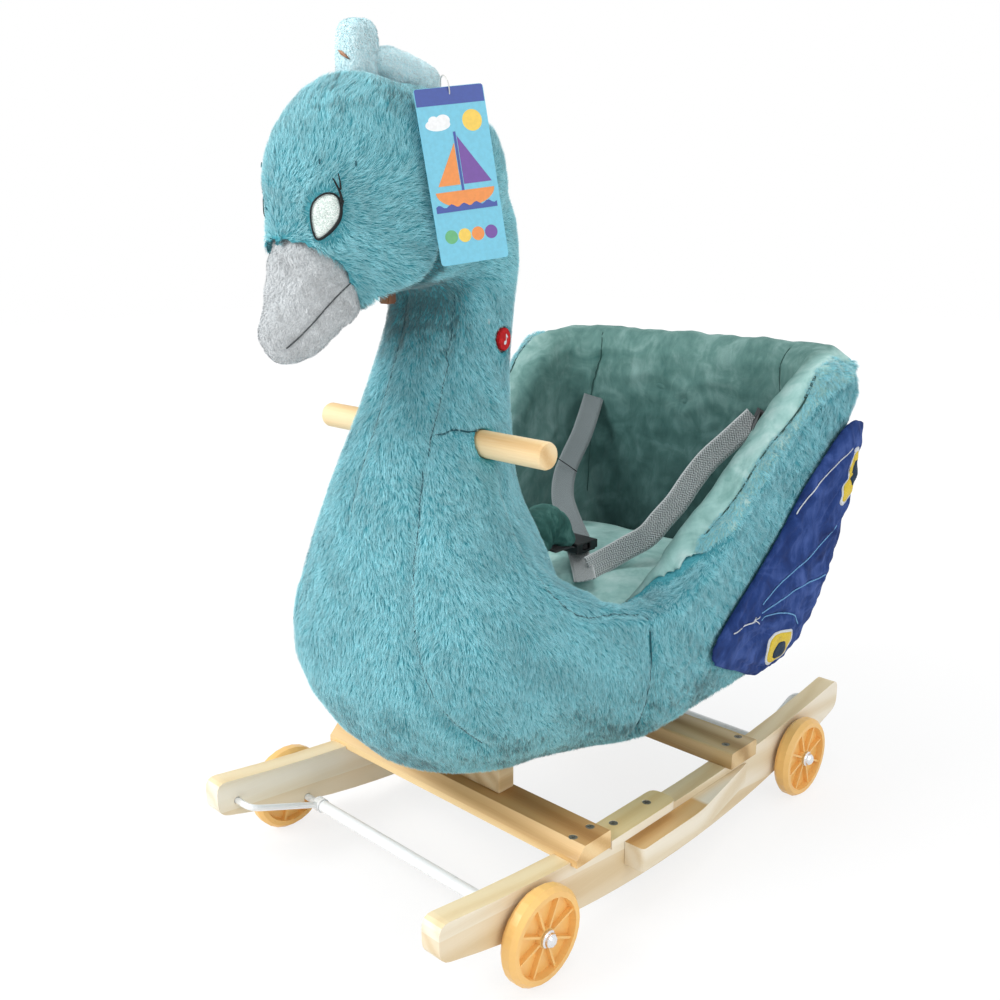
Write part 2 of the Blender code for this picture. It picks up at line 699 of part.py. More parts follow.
def wheel_profile():
    """Half section of the wheel (radius, x from its middle), once round from the tread's outer edge."""
    half = WHEEL_WIDTH / 2
    lip = WHEEL_RADIUS - RIM_DEPTH
    web = WEB_THICKNESS / 2
    hub = half - HUB_INSET
    shoulder = half - TREAD_SHOULDER
    edge = WHEEL_RADIUS - TREAD_CHAMFER
    return [(edge, half), (WHEEL_RADIUS, shoulder), (WHEEL_RADIUS, -shoulder), (edge, -half), (lip, -half),
            (lip - DRAFT, -web), (HUB_RADIUS, -web), (HUB_RADIUS - DRAFT / 2, -hub), (AXLE_BORE_RADIUS, -hub),
            (AXLE_BORE_RADIUS, hub), (HUB_RADIUS - DRAFT / 2, hub), (HUB_RADIUS, web), (lip - DRAFT, web),
            (lip, half)]


def screw_mesh(name, profile, steps, closed=True):
    """The profile (radius, height) turned about Z."""
    bm = bmesh.new()
    verts = [bm.verts.new((r, 0, h)) for r, h in profile]
    for a, b in zip(verts, verts[1:] + (verts[:1] if closed else [])):
        if a is not b:
            bm.edges.new((a, b))
    mesh = bpy.data.meshes.new(name)
    bm.to_mesh(mesh)
    bm.free()
    guide = bpy.data.objects.new(name + " profile", mesh)
    CUTTERS.objects.link(guide)
    screw = guide.modifiers.new("turned", "SCREW")
    screw.axis = "Z"
    screw.steps = steps
    screw.render_steps = steps
    screw.use_merge_vertices = True
    screw.merge_threshold = 0.00001
    return curve_to_mesh(guide, name)


def wheel_mesh():
    body = screw_mesh("wheel body", wheel_profile(), WHEEL_STEPS)
    wheel = helper("wheel pattern", body)
    inner, outer = HUB_RADIUS - 0.001, WHEEL_RADIUS - RIM_DEPTH + 0.0005
    depth = WHEEL_WIDTH / 2 - 0.002
    for k in range(WHEEL_RIBS):
        rib = box_cutter(f"rib {k}", (inner, -RIB_THICKNESS / 2, -depth), (outer, RIB_THICKNESS / 2, depth))
        rib.data.transform(Matrix.Rotation(2 * math.pi * (k + 0.4) / WHEEL_RIBS, 4, "Z"))
        join(wheel, rib)
    bpy.context.view_layer.update()
    evaluated = wheel.evaluated_get(bpy.context.evaluated_depsgraph_get())
    return bpy.data.meshes.new_from_object(evaluated)


def build_wheel(name, pattern, side, axle_y):
    wheel = add_mesh(name, pattern.copy(), "wheel_plastic")
    wheel.data.transform(Matrix.Rotation(side * math.pi / 2, 4, "Y"))
    wheel.location = (side * WHEEL_X, axle_y, WHEEL_RADIUS)
    shade(wheel, 35)


def build_hub_cap(name, side, axle_y):
    """Domed push-on nut over the axle's end."""
    base = WHEEL_WIDTH / 2 - HUB_INSET + RUNNING
    top = HUB_CAP_HEIGHT
    bore = AXLE_RADIUS + GAP
    depth = top - HUB_CAP_CROWN
    dome = HUB_CAP_RADIUS - HUB_CAP_STEP
    rise = top - HUB_CAP_SHOULDER
    profile = [(bore, 0.0), (HUB_CAP_RADIUS, 0.0), (HUB_CAP_RADIUS, HUB_CAP_FLANGE), (dome, HUB_CAP_SHOULDER)]
    for k in range(1, 4):
        angle = math.pi / 2 * k / 4
        profile.append((dome * math.cos(angle), HUB_CAP_SHOULDER + rise * math.sin(angle)))
    profile += [(0.0, top)]
    outer = profile + [(0.0, depth), (bore, depth)]
    mesh = screw_mesh(name, list(reversed(outer)), 16)
    cap = add_mesh(name, mesh, "cap_steel")
    cap.data.transform(Matrix.Rotation(side * math.pi / 2, 4, "Y"))
    cap.location = (side * (WHEEL_X + base), axle_y, WHEEL_RADIUS)
    shade(cap, 35)


def crank_points(pivot_y, axle_y, side):
    """The arm's route: pivot pin in the runner, bend, then straight to the axle."""
    pin = Vector((side * (RUNNER_INNER_X + PIVOT_DEPTH - 0.001), pivot_y, PIVOT_Z))
    corner = Vector((side * ARM_X, pivot_y, PIVOT_Z))
    eye = Vector((side * ARM_X, axle_y, WHEEL_RADIUS))
    toward_eye = (eye - corner).normalized()
    start = corner + Vector((side * ARM_BEND, 0, 0))
    finish = corner + toward_eye * ARM_BEND
    route = [pin]
    for k in range(6):
        t = k / 5
        route.append(start * (1 - t) ** 2 + corner * 2 * t * (1 - t) + finish * t * t)
    route.append(eye - toward_eye * (AXLE_RADIUS + 0.0015))
    return route


def build_crank(label, pivot_y, axle_y):
    axis = (0.0, pivot_y, PIVOT_Z)
    cap_base = WHEEL_X + WHEEL_WIDTH / 2 - HUB_INSET + RUNNING
    reach = cap_base + HUB_CAP_HEIGHT - HUB_CAP_CROWN - GAP
    rod = add_mesh(f"{label}_axle", rod_mesh(f"{label}_axle", (-reach, axle_y, WHEEL_RADIUS),
                                             (reach, axle_y, WHEEL_RADIUS), AXLE_RADIUS, 16), "cap_steel")
    shade(rod)
    half_eye = ARM_EYE_WIDTH / 2
    length = ARM_X - half_eye - GAP
    bore = AXLE_RADIUS + GAP
    name = f"{label}_axle_sleeve"
    ends = [(side * length, axle_y, WHEEL_RADIUS) for side in (-1, 1)]
    sleeve = add_mesh(name, rod_mesh(name, *ends, SLEEVE_RADIUS), "white_steel")
    past = [(side * ARM_X, axle_y, WHEEL_RADIUS) for side in (-1, 1)]
    cut(sleeve, rod_cutter(f"{label} sleeve bore", *past, bore, 16))
    shade(sleeve)
    for side, hand in ((1, "left"), (-1, "right")):
        name = f"{label}_{hand}_arm"
        arm = add_mesh(name, bent_rod_mesh(name, crank_points(pivot_y, axle_y, side), ARM_RADIUS),
                       "white_steel")
        eye = rod_cutter(f"{name} eye", (side * ARM_X - half_eye, axle_y, WHEEL_RADIUS),
                         (side * ARM_X + half_eye, axle_y, WHEEL_RADIUS), ARM_EYE_RADIUS, 20)
        join(arm, eye)
        cut(arm, rod_cutter(f"{name} bore", (side * ARM_X - 0.02, axle_y, WHEEL_RADIUS),
                            (side * ARM_X + 0.02, axle_y, WHEEL_RADIUS), bore, 16))
        shade(arm)
        move_origin(arm, axis)
    move_origin(rod, axis)
    move_origin(sleeve, axis)


def move_origin(obj, place):
    """Puts the object's origin on its joint's axis without moving its shape."""
    obj.data.transform(Matrix.Translation(-Vector(place)))
    obj.location = place


# Boards inside

def neck_board_outline():
    """Side view of the neck board: wide at the foot, narrower at the top."""
    low_z = SEAT_BOARD_Z + SEAT_BOARD_THICKNESS + GAP
    front, rear, top = NECK_BOARD_FRONT_Y, NECK_BOARD_REAR_Y, NECK_BOARD_TOP_Z
    return [(front, low_z), (rear, low_z), (rear, NECK_BOARD_REAR_BEND_Z), (rear + NECK_BOARD_LEAN, top),
            (front + NECK_BOARD_NOSE, top), (front, NECK_BOARD_FRONT_BEND_Z)]


def build_boards():
    top = SEAT_BOARD_Z + SEAT_BOARD_THICKNESS
    half = SUPPORT_THICKNESS / 2
    box("front_support_board", (-SUPPORT_HALF_WIDTH, SUPPORT_Y - half, bar_top_z(FRONT_BAR_SEAT_Z) + GAP),
        (SUPPORT_HALF_WIDTH, SUPPORT_Y + half, top), "pale_pine", 0.0012)
    box("rear_support_board", (-SUPPORT_HALF_WIDTH, REAR_SUPPORT_Y - half, bar_top_z(REAR_BAR_SEAT_Z) + GAP),
        (SUPPORT_HALF_WIDTH, REAR_SUPPORT_Y + half, SEAT_BOARD_Z - GAP), "pale_pine", 0.0012)
    front = SUPPORT_Y + half + GAP
    plan = [(-TONGUE_HALF_WIDTH, front), (TONGUE_HALF_WIDTH, front), (TONGUE_HALF_WIDTH, SEAT_BOARD_FRONT_Y),
            (SEAT_BOARD_HALF_WIDTH - 0.02, SEAT_BOARD_FRONT_Y), (SEAT_BOARD_HALF_WIDTH, 0.02)]
    plan += rounded_corner((SEAT_BOARD_HALF_WIDTH, SEAT_BOARD_REAR_Y), (SEAT_BOARD_HALF_WIDTH, 0.02),
                           (0.0, SEAT_BOARD_REAR_Y), 0.04)
    plan += rounded_corner((-SEAT_BOARD_HALF_WIDTH, SEAT_BOARD_REAR_Y), (0.0, SEAT_BOARD_REAR_Y),
                           (-SEAT_BOARD_HALF_WIDTH, 0.02), 0.04)
    plan += [(-SEAT_BOARD_HALF_WIDTH, 0.02), (-SEAT_BOARD_HALF_WIDTH + 0.02, SEAT_BOARD_FRONT_Y),
             (-TONGUE_HALF_WIDTH, SEAT_BOARD_FRONT_Y)]
    add_mesh("seat_board", outline_mesh("seat_board", plan, SEAT_BOARD_Z, top, "xy"), "plywood")
    half_neck = NECK_BOARD_THICKNESS / 2
    board = add_mesh("neck_board", outline_mesh("neck_board", neck_board_outline(), -half_neck, half_neck),
                     "plywood")
    cut(board, rod_cutter("neck board bore", (-0.05, HANDLE_Y, HANDLE_Z), (0.05, HANDLE_Y, HANDLE_Z),
                          HANDLE_RADIUS + GAP, HANDLE_SIDES))


def build_handle():
    ends = [(side * HANDLE_HALF_LENGTH, HANDLE_Y, HANDLE_Z) for side in (-1, 1)]
    mesh = rod_mesh("handle_dowel", *ends, HANDLE_RADIUS, HANDLE_SIDES)
    handle = add_mesh("handle_dowel", mesh, "pale_pine")
    bevel(handle, HANDLE_ROUND, 2, 50)
    shade(handle)


# Plush body, seat and head

def tub_wall_mesh(name, lift=0.0):
    """Stuffed tub: its outer skin, the top of the wall under the velvet roll, and the inside down to the
    floor. The lift raises the wall's top."""
    top = [[wall_top(k, share) + Vector((0, 0, lift)) for k in range(TUB_STEPS)]
           for share in (1.0, RIDGE_PLACE, 0.0)]
    rings = level_rings(outer_point, TUB_BOTTOM_Z, top[0], 9)
    rings += top
    rings += list(reversed(level_rings(inner_point, SEAT_BOARD_Z - GAP, top[2], 4)))
    return loft_mesh(name, rings)


def wall_top(k, share):
    """A place on the stuffed wall's top, from its inner edge (0) to its outer edge (1)."""
    inner = Vector(rim_point(inner_point, k, wall_drop(k, FACING)))
    outer = Vector(rim_point(outer_point, k, wall_drop(k, 0.003)))
    swell = Vector((0, 0, RIDGE_SWELL * (1 - velvet_share(k))))
    ridge = inner + (outer - inner) * RIDGE_PLACE + swell
    if share <= RIDGE_PLACE:
        return inner + (ridge - inner) * share / RIDGE_PLACE
    return ridge + (outer - ridge) * (share - RIDGE_PLACE) / (1 - RIDGE_PLACE)


def body_slots(body):
    """Hollows in the stuffing for the boards and the handle."""
    half = SUPPORT_THICKNESS / 2 + GAP
    wide = SUPPORT_HALF_WIDTH + GAP
    board_top = SEAT_BOARD_Z + SEAT_BOARD_THICKNESS + GAP
    cut(body, box_cutter("front support slot", (-wide, SUPPORT_Y - half, 0.09),
                         (wide, SUPPORT_Y + half, board_top)))
    cut(body, box_cutter("rear support slot", (-wide, REAR_SUPPORT_Y - half, 0.09),
                         (wide, REAR_SUPPORT_Y + half, SEAT_BOARD_Z + 0.004)))
    tongue = TONGUE_HALF_WIDTH + GAP
    cut(body, box_cutter("tongue slot", (-tongue, SUPPORT_Y, SEAT_BOARD_Z - GAP),
                         (tongue, SEAT_BOARD_FRONT_Y + 0.02, board_top)))
    middle = (NECK_BOARD_FRONT_Y + NECK_BOARD_REAR_Y) / 2
    grown = []
    for y, z in neck_board_outline():
        side = 1 if y > middle else -1
        grown.append((y + side * GAP * 1.5, z - 0.002 if z < 0.3 else z + (GAP if z > 0.5 else 0.0)))
    half_neck = NECK_BOARD_THICKNESS / 2 + GAP
    cut(body, rod_cutter("handle tunnel", (-0.2, HANDLE_Y, HANDLE_Z), (0.2, HANDLE_Y, HANDLE_Z),
                         HANDLE_RADIUS + GAP, HANDLE_SIDES))
    cut(body, helper("neck slot", outline_mesh("neck slot", grown, -half_neck, half_neck)))


def button_frame():
    """Centre of the button's face on the neck, and its outward direction."""
    outward = Vector((math.cos(BUTTON_AZIMUTH), math.sin(BUTTON_AZIMUTH), 0))
    y, length, width = between(NECK_RINGS, BUTTON_Z)
    centre = Vector((outward.x * width, y + outward.y * length, BUTTON_Z))
    return centre, outward


def button_pocket(body):
    centre, outward = button_frame()
    hole = rod_cutter("button hole", centre - outward * 0.022, centre + outward * 0.02,
                      BUTTON_RADIUS + RUNNING, 20)
    cut(body, hole)
    pocket = box_cutter("module pocket", tuple(-s / 2 - GAP for s in MODULE_SIZE),
                        tuple(s / 2 + GAP for s in MODULE_SIZE))
    pocket.data.transform(module_frame())
    cut(body, pocket)


def module_frame():
    centre, outward = button_frame()
    middle = centre - outward * (BUTTON_TRAVEL + BUTTON_HEIGHT + MODULE_SIZE[0] / 2 + GAP)
    return Matrix.Translation(middle) @ Matrix.Rotation(BUTTON_AZIMUTH, 4, "Z")


def build_body():
    body = add_mesh("body_plush", tub_wall_mesh("body_plush"), "fur")
    neck = helper("neck form", loft_mesh("neck form", ring_stack(NECK_RINGS, 32, 16)))
    join(body, neck)
    body_slots(body)
    button_pocket(body)
    shade(body, 60)


def build_head():
    head = add_mesh("head_plush", loft_mesh("head_plush", ring_stack(HEAD_RINGS, HEAD_STEPS, 14)), "fur")
    nape = helper("nape form", loft_mesh("nape form", ring_stack(NAPE_RINGS, 32, 5)))
    join(head, nape)
    below = [(z, y, length + GAP * 2, width + GAP * 2) for z, y, length, width in NECK_RINGS if z > 0.5]
    below[-1] = (NECK_JOIN_Z + GAP,) + below[-1][1:]
    cut(head, helper("neck room", loft_mesh("neck room", ring_stack(below, 32, 6))))
    cut(head, helper("beak room", loft_mesh("beak room", beak_rings(2 * GAP))))
    shade(head, 60)


def beak_rings(grow=0.0):
    """Rings square to the beak's axis, which leans forward and down."""
    rows = smooth_line(BEAK_RINGS, 9)
    rings = []
    for i, (y, z, width, depth) in enumerate(rows):
        after = rows[min(i + 1, len(rows) - 1)]
        before = rows[max(i - 1, 0)]
        along = Vector((0, after[0] - before[0], after[1] - before[1])).normalized()
        across = Vector((0, along.z, -along.y))
        ring = []
        for k in range(24):
            angle = 2 * math.pi * k / 24
            ring.append(Vector((0, y, z)) + Vector((1, 0, 0)) * (width + grow) * math.sin(angle)
                        + across * (depth + grow) * math.cos(angle))
        rings.append(ring)
    tip = Vector((0, rows[-1][0], rows[-1][1]))
    rings.append([tip + Vector((0, 0, -0.0025)) + (p - tip) * 0.45 for p in rings[-1]])
    if grow:
        root = Vector((0, rows[1][0] - rows[0][0], rows[1][1] - rows[0][1])).normalized() * grow
        rings[0] = [p - root for p in rings[0]]
    return rings


def build_beak():
    beak = add_mesh("beak", loft_mesh("beak", beak_rings()), "beak_plush")
    shade(beak, 60)


# Velvet roll over the wall's top, from outside to inside: 1 for the outer skin or 0 for the inner one, the
# drop below the rim and the inset where the roll is whole, then the rise above the wall's inner edge and the
# share of the lining's thickness where the velvet ends at the inside of the wall
ROLL_ROWS = ((1, 0.0240, 0.0008, 0.0002, 0.0), (1, 0.009, -0.001, 0.0010, 0.0),
             (1, 0.002, 0.008, 0.0018, 0.1), (1, -0.003, 0.018, 0.0024, 0.35),
             (0, -0.0025, -0.010, 0.0024, 0.65), (0, 0.006, -0.001, 0.0018, 0.9))
ROLL_SINK = 0.004


def roll_ring(row):
    """One ring of the velvet roll."""
    outward, drop, inset, rise, share = row
    ring = []
    for k in range(TUB_STEPS):
        cover = velvet_share(k)
        place = outer_point if outward else inner_point
        whole = Vector(rim_point(place, k, drop, inset))
        edge = Vector(rim_point(inner_point, k, FACING - rise, GAP + share * (LINER_THICKNESS - GAP)))
        ring.append(edge + (whole - edge) * cover)
    return ring


def liner_rings():
    """Velvet lining: under the floor, up the wall, out over its top, round the roll, and down the inside."""
    floor = SEAT_BOARD_Z + SEAT_BOARD_THICKNESS + GAP
    thick = LINER_THICKNESS
    lining_top = [rim_point(inner_point, k, wall_drop(k, FACING) + ROLL_SINK, GAP) for k in range(TUB_STEPS)]
    rings = level_rings(inner_point, floor, lining_top, 3, GAP)
    rings.append(lining_top)
    rings += [roll_ring(row) for row in ROLL_ROWS]
    inner_top = [rim_point(inner_point, k, wall_drop(k, FACING), thick) for k in range(TUB_STEPS)]
    rings.append(inner_top)
    rings += list(reversed(level_rings(inner_point, floor + thick, inner_top, 3, thick)))
    return rings


def build_seat():
    liner = add_mesh("seat_liner", loft_mesh("seat_liner", liner_rings()), "velvet")
    cut(liner, helper("room for the wall", tub_wall_mesh("room for the wall", 1.5 * GAP)))
    shade(liner, 60)
    floor = SEAT_BOARD_Z + SEAT_BOARD_THICKNESS + GAP + LINER_THICKNESS + GAP
    rings = []
    rows = ((0.0, 0.004), (0.25, 0.001), (0.8, 0.001), (1.0, 0.006))
    for share, inset in rows:
        z = floor + CUSHION_THICKNESS * share
        side_inset = LINER_THICKNESS + CUSHION_SIDE_GAP + inset
        rings.append([inner_point(k, z, side_inset) for k in range(TUB_STEPS)])
    top = floor + CUSHION_THICKNESS
    for shrink, rise in ((0.85, 0.6), (0.55, 0.9), (0.25, 1.0)):
        rings.append([(x * shrink, 0.10 + (y - 0.10) * shrink, top + CUSHION_CROWN * rise)
                      for x, y, _ in rings[3]])
    cushion = add_mesh("seat_cushion", loft_mesh("seat_cushion", rings), "velvet")
    shade(cushion, 60)


def side_place(share, z, lift):
    """A place on the tub's left side, share of the way round it, lifted off along its normal."""
    controls = outer_controls(z)
    x, y = along_plan(controls, share)
    ahead, behind = along_plan(controls, share + 0.01), along_plan(controls, share - 0.01)
    normal = Vector((ahead[1] - behind[1], behind[0] - ahead[0]))
    normal.normalize()
    return (x + normal.x * lift, y + normal.y * lift, z)


# Wing outline (share of the way round the tub, z), from the low front corner over the top and down the rear,
# where three notches part the four feather tips
WING_OUTLINE = ((0.541, 0.205), (0.533, 0.225), (0.540, 0.247), (0.553, 0.272), (0.591, 0.332),
                (0.622, 0.377), (0.655, 0.407), (0.697, 0.435), (0.735, 0.434), (0.765, 0.410),
                (0.778, 0.383), (0.768, 0.353), (0.778, 0.330), (0.767, 0.299), (0.772, 0.268),
                (0.754, 0.233), (0.753, 0.203), (0.724, 0.170), (0.680, 0.160), (0.628, 0.167),
                (0.575, 0.185))
WING_STEPS = 42
WING_CENTRE = (0.665, 0.290)
# Share of the outline's size, then how far through the padding
WING_ROWS = ((0.15, 0.0), (0.4, 0.0), (0.65, 0.0), (0.9, 0.0), (1.0, 0.3), (0.99, 0.7), (0.9, 0.95),
             (0.6, 1.0), (0.25, 1.0))


def build_wing(side, label):
    """A padded wing that lies on the tub's side; its rear edge stands off."""
    outline = smooth_line(WING_OUTLINE, WING_STEPS, closed=True)
    rings = []
    for spread, lift in WING_ROWS:
        ring = []
        for share, z in outline:
            share = WING_CENTRE[0] + (share - WING_CENTRE[0]) * spread
            z = WING_CENTRE[1] + (z - WING_CENTRE[1]) * spread
            t = min(max((share - WING_FLARE_FROM) / (WING_FLARE_TO - WING_FLARE_FROM), 0.0), 1.0)
            flare = WING_FLARE * t * t * (3 - 2 * t)
            x, y, z = side_place(share, z, WING_GAP + flare + WING_THICKNESS * lift)
            ring.append((side * x, y, z))
        rings.append(ring)
    wing = add_mesh(f"{label}_wing", loft_mesh(f"{label}_wing", rings), "wing_velvet")
    shade(wing, 60)


def build_crest():
    """Soft bow on the crown: a lobe that stands up in front and one that lies back over the head."""
    soft_lobe("crest_front_lobe", ((-0.2465, 0.7608, 0.010, 0.008), (-0.2468, 0.7642, 0.019, 0.014),
                                   (-0.252, 0.775, 0.023, 0.017), (-0.250, 0.787, 0.018, 0.013),
                                   (-0.247, 0.794, 0.008, 0.006)), 8, "crest_velvet")
    soft_lobe("crest_rear_lobe", ((-0.226, 0.7675, 0.012, 0.006), (-0.212, 0.7717, 0.020, 0.009),
                                  (-0.191, 0.7725, 0.025, 0.010), (-0.167, 0.7670, 0.022, 0.008),
                                  (-0.150, 0.7600, 0.010, 0.004)), 8, "crest_velvet")


def soft_lobe(name, table, count, finish):
    """A soft stuffed tube in the middle plane: rows of y, z, half width and half depth."""
    rows = smooth_line(table, count)
    rings = []
    for i, (y, z, width, depth) in enumerate(rows):
        after, before = rows[min(i + 1, len(rows) - 1)], rows[max(i - 1, 0)]
        along = Vector((0, after[0] - before[0], after[1] - before[1])).normalized()
        across = Vector((0, -along.z, along.y))
        rings.append([Vector((0, y, z)) + Vector((1, 0, 0)) * width * math.sin(2 * math.pi * k / 16)
                      + across * depth * math.cos(2 * math.pi * k / 16) for k in range(16)])
    lobe = add_mesh(name, loft_mesh(name, rings), finish)
    shade(lobe, 60)


# Sound button, hang tag and harness

def build_sound():
    centre, outward = button_frame()
    proud = 0.001
    button = add_mesh("sound_button", rod_mesh("sound_button", centre + outward * proud,
                                               centre - outward * (BUTTON_HEIGHT - proud), BUTTON_RADIUS, 20),
                      "red_felt")
    bevel(button, 0.0008, 1, 50)
    move_origin(button, centre)
    module = add_mesh("sound_module", box_mesh("sound_module", tuple(-s / 2 for s in MODULE_SIZE),
                                               tuple(s / 2 for s in MODULE_SIZE)), "module_plastic")
    module.data.transform(module_frame())
    bevel(module, 0.001, 1, 50)


def tag_frame():
    """X across the card, Y out of its back, Z up it; the origin is at the hole."""
    top = Matrix.Translation(TAG_TOP) @ Matrix.Rotation(TAG_TURN, 4, "Z")
    lean = Matrix.Rotation(-TAG_TILT, 4, "X") @ Matrix.Rotation(-TAG_ROLL, 4, "Y")
    return top @ lean @ Matrix.Translation((0, 0, -TAG_HOLE_DROP))


def build_tag():
    """Printed card on a wire loop that is caught in the plush of the head."""
    corner = 0.003
    half = TAG_WIDTH / 2
    top, bottom = TAG_HOLE_DROP, TAG_HOLE_DROP - TAG_HEIGHT
    corners = [(-half, bottom), (half, bottom), (half, top), (-half, top)]
    outline = []
    for i, point in enumerate(corners):
        outline += rounded_corner(point, corners[i - 1], corners[(i + 1) % 4], corner, 3)
    mesh = outline_mesh("hang_tag", outline, -TAG_THICKNESS / 2, TAG_THICKNESS / 2, "xz")
    tag = add_mesh("hang_tag", mesh, "tag_card")
    tag.matrix_world = tag_frame()
    hole = rod_cutter("tag hole", (0, -0.01, 0), (0, 0.01, 0), TAG_HOLE_RADIUS, 12)
    hole.matrix_world = tag_frame()
    cut(tag, hole)
    ring = []
    setback = TAG_LOOP_RADIUS - TAG_LOOP_OVERLAP
    rise = math.sqrt(TAG_LOOP_RADIUS ** 2 - setback ** 2)
    for k in range(16):
        angle = 2 * math.pi * k / 16
        ring.append((0.0, setback + TAG_LOOP_RADIUS * math.cos(angle),
                     rise + TAG_LOOP_RADIUS * math.sin(angle)))
    loop = add_mesh("tag_loop", bent_rod_mesh("tag_loop", ring, TAG_WIRE_RADIUS, True), "module_plastic")
    loop.matrix_world = tag_frame()
    shade(loop)


def ribbon_mesh(name, centres, across):
    """Flat webbing along the centres, with the given half-width vectors."""
    bm = bmesh.new()
    rows = []
    for centre, half in zip(centres, across):
        centre, half = Vector(centre), Vector(half)
        rows.append([bm.verts.new(centre - half), bm.verts.new(centre + half)])
    for low, high in zip(rows, rows[1:]):
        bm.faces.new((low[0], low[1], high[1], high[0]))
    mesh = bpy.data.meshes.new(name)
    bm.to_mesh(mesh)
    bm.free()
    return mesh


# Straps: centre line of the left one over a lining 5 mm thick, mirrored for the right, and the direction
# across each webbing
STRAP_LINING = 0.005
STRAP_ROUTE = ((0.1134, 0.2257, 0.4400), (0.1112, 0.2132, 0.4330), (0.0965, 0.1640, 0.4010),
               (0.0770, 0.1200, 0.3700), (0.0590, 0.1000, 0.3320), (0.0420, 0.0890, 0.3070),
               (0.0240, 0.0790, 0.2990), (0.0105, 0.0700, 0.2990), (0.0085, 0.0603, 0.3000))
STRAP_ACROSS = {
    "left": ((-0.60, 0.00, 0.80), (-0.62, -0.15, 0.77), (-0.63, -0.35, 0.70), (-0.60, -0.35, 0.72),
             (-0.55, -0.35, 0.76), (-0.45, -0.30, 0.84), (-0.30, -0.25, 0.92), (-0.20, -0.10, 0.97),
             (-0.10, 0.00, 1.00)),
    "right": ((-0.60, 0.00, 0.80), (-0.70, 0.05, 0.70), (-0.85, 0.20, 0.40), (-0.90, 0.30, -0.10),
              (-0.85, 0.35, -0.35), (-0.80, 0.40, -0.20), (-0.85, 0.30, 0.10), (-0.95, 0.10, 0.20),
              (-1.00, 0.00, 0.10)),
}


def build_straps():
    """Two straps from the back of the tub to the buckle, as flat webbing."""
    for side, label in ((1, "left"), (-1, "right")):
        route = smooth_line(STRAP_ROUTE, 25)
        turns = smooth_line(STRAP_ACROSS[label], 25)
        centres, across = [], []
        for k, (centre, turn) in enumerate(zip(route, turns)):
            centre = toward_inside(centre, (LINER_THICKNESS - STRAP_LINING) * (1 - k / 24))
            ahead, behind = Vector(route[min(k + 1, 24)]), Vector(route[max(k - 1, 0)])
            along = (ahead - behind).normalized()
            turn = Vector(turn)
            turn -= along * turn.dot(along)
            narrow = 1.0 - 0.25 * max(0.0, (k - 18) / 6)
            half = turn.normalized() * WEBBING_WIDTH / 2 * narrow
            centres.append((side * centre[0], centre[1], centre[2]))
            across.append((side * half.x, half.y, half.z))
        strap = add_mesh(f"{label}_strap", ribbon_mesh(f"{label}_strap", centres, across), "webbing")
        solid = strap.modifiers.new("webbing thickness", "SOLIDIFY")
        solid.thickness = WEBBING_THICKNESS
        solid.offset = 0.0
        shade(strap, 50)


# One prong of the plug, from its inner root round its barb to its outer root: in from the plug's side, and
# behind the buckle's middle
PRONG = ((-0.006, 0.004), (-0.007, -0.006), (-0.004, -0.007), (0.0025, 0.001), (-0.001, 0.004))


def build_buckle():
    """Side-release buckle: a socket with open sides, and a plug with two prongs inside it."""
    middle = Vector(BUCKLE_CENTRE)
    half = Vector(BUCKLE_SIZE) / 2
    room = half - Vector((BUCKLE_WALL, 0, BUCKLE_WALL))
    socket = box("buckle_socket", middle - half, middle + half, "black_plastic")
    throat = middle + Vector((-room.x, BUCKLE_NOSE - half.y, -room.z))
    cut(socket, box_cutter("buckle throat", throat, middle + Vector((room.x, 2 * half.y, room.z))))
    window = Vector((2 * half.x, BUCKLE_WINDOW / 2, room.z))
    cut(socket, box_cutter("buckle windows", middle - window, middle + window))
    bevel(socket, 0.0008, 1, 50)
    edge, thick = room.x - 2 * GAP, room.z - 2 * GAP
    front = half.y + GAP
    side = [(BUCKLE_GUIDE_HALF_WIDTH, -BUCKLE_GUIDE_REACH), (BUCKLE_GUIDE_HALF_WIDTH, BUCKLE_GUIDE_REACH)]
    side += [(edge + inward, behind) for inward, behind in PRONG] + [(edge, front)]
    plan = [(middle.x - x, middle.y + y) for x, y in reversed(side)]
    plan += [(middle.x + x, middle.y + y) for x, y in side]
    mesh = outline_mesh("buckle_plug", plan, middle.z - thick, middle.z + thick, "xy")
    plug = add_mesh("buckle_plug", mesh, "black_plastic")
    reach = half - Vector((PLUG_BAR_INSET, 0, PLUG_BAR_INSET))
    low = middle + Vector((-reach.x, front - 0.0001, -reach.z))
    join(plug, box_cutter("plug bar", low, middle + Vector((reach.x, front + PLUG_BAR_LENGTH, reach.z))))


def build_crotch_strap():
    """Gathered velvet tube that comes out of the chest's back and curls down to the buckle."""
    soft_lobe("crotch_strap", ((-0.0412, 0.3065, 0.013, 0.011), (-0.0360, 0.3081, 0.0155, 0.014),
                               (-0.0230, 0.3210, 0.016, 0.0145), (-0.0030, 0.3280, 0.016, 0.0145),
                               (0.0120, 0.3210, 0.015, 0.012), (0.0185, 0.3090, 0.013, 0.008),
                               (0.0206, 0.3020, 0.011, 0.0035)), 11, "velvet")


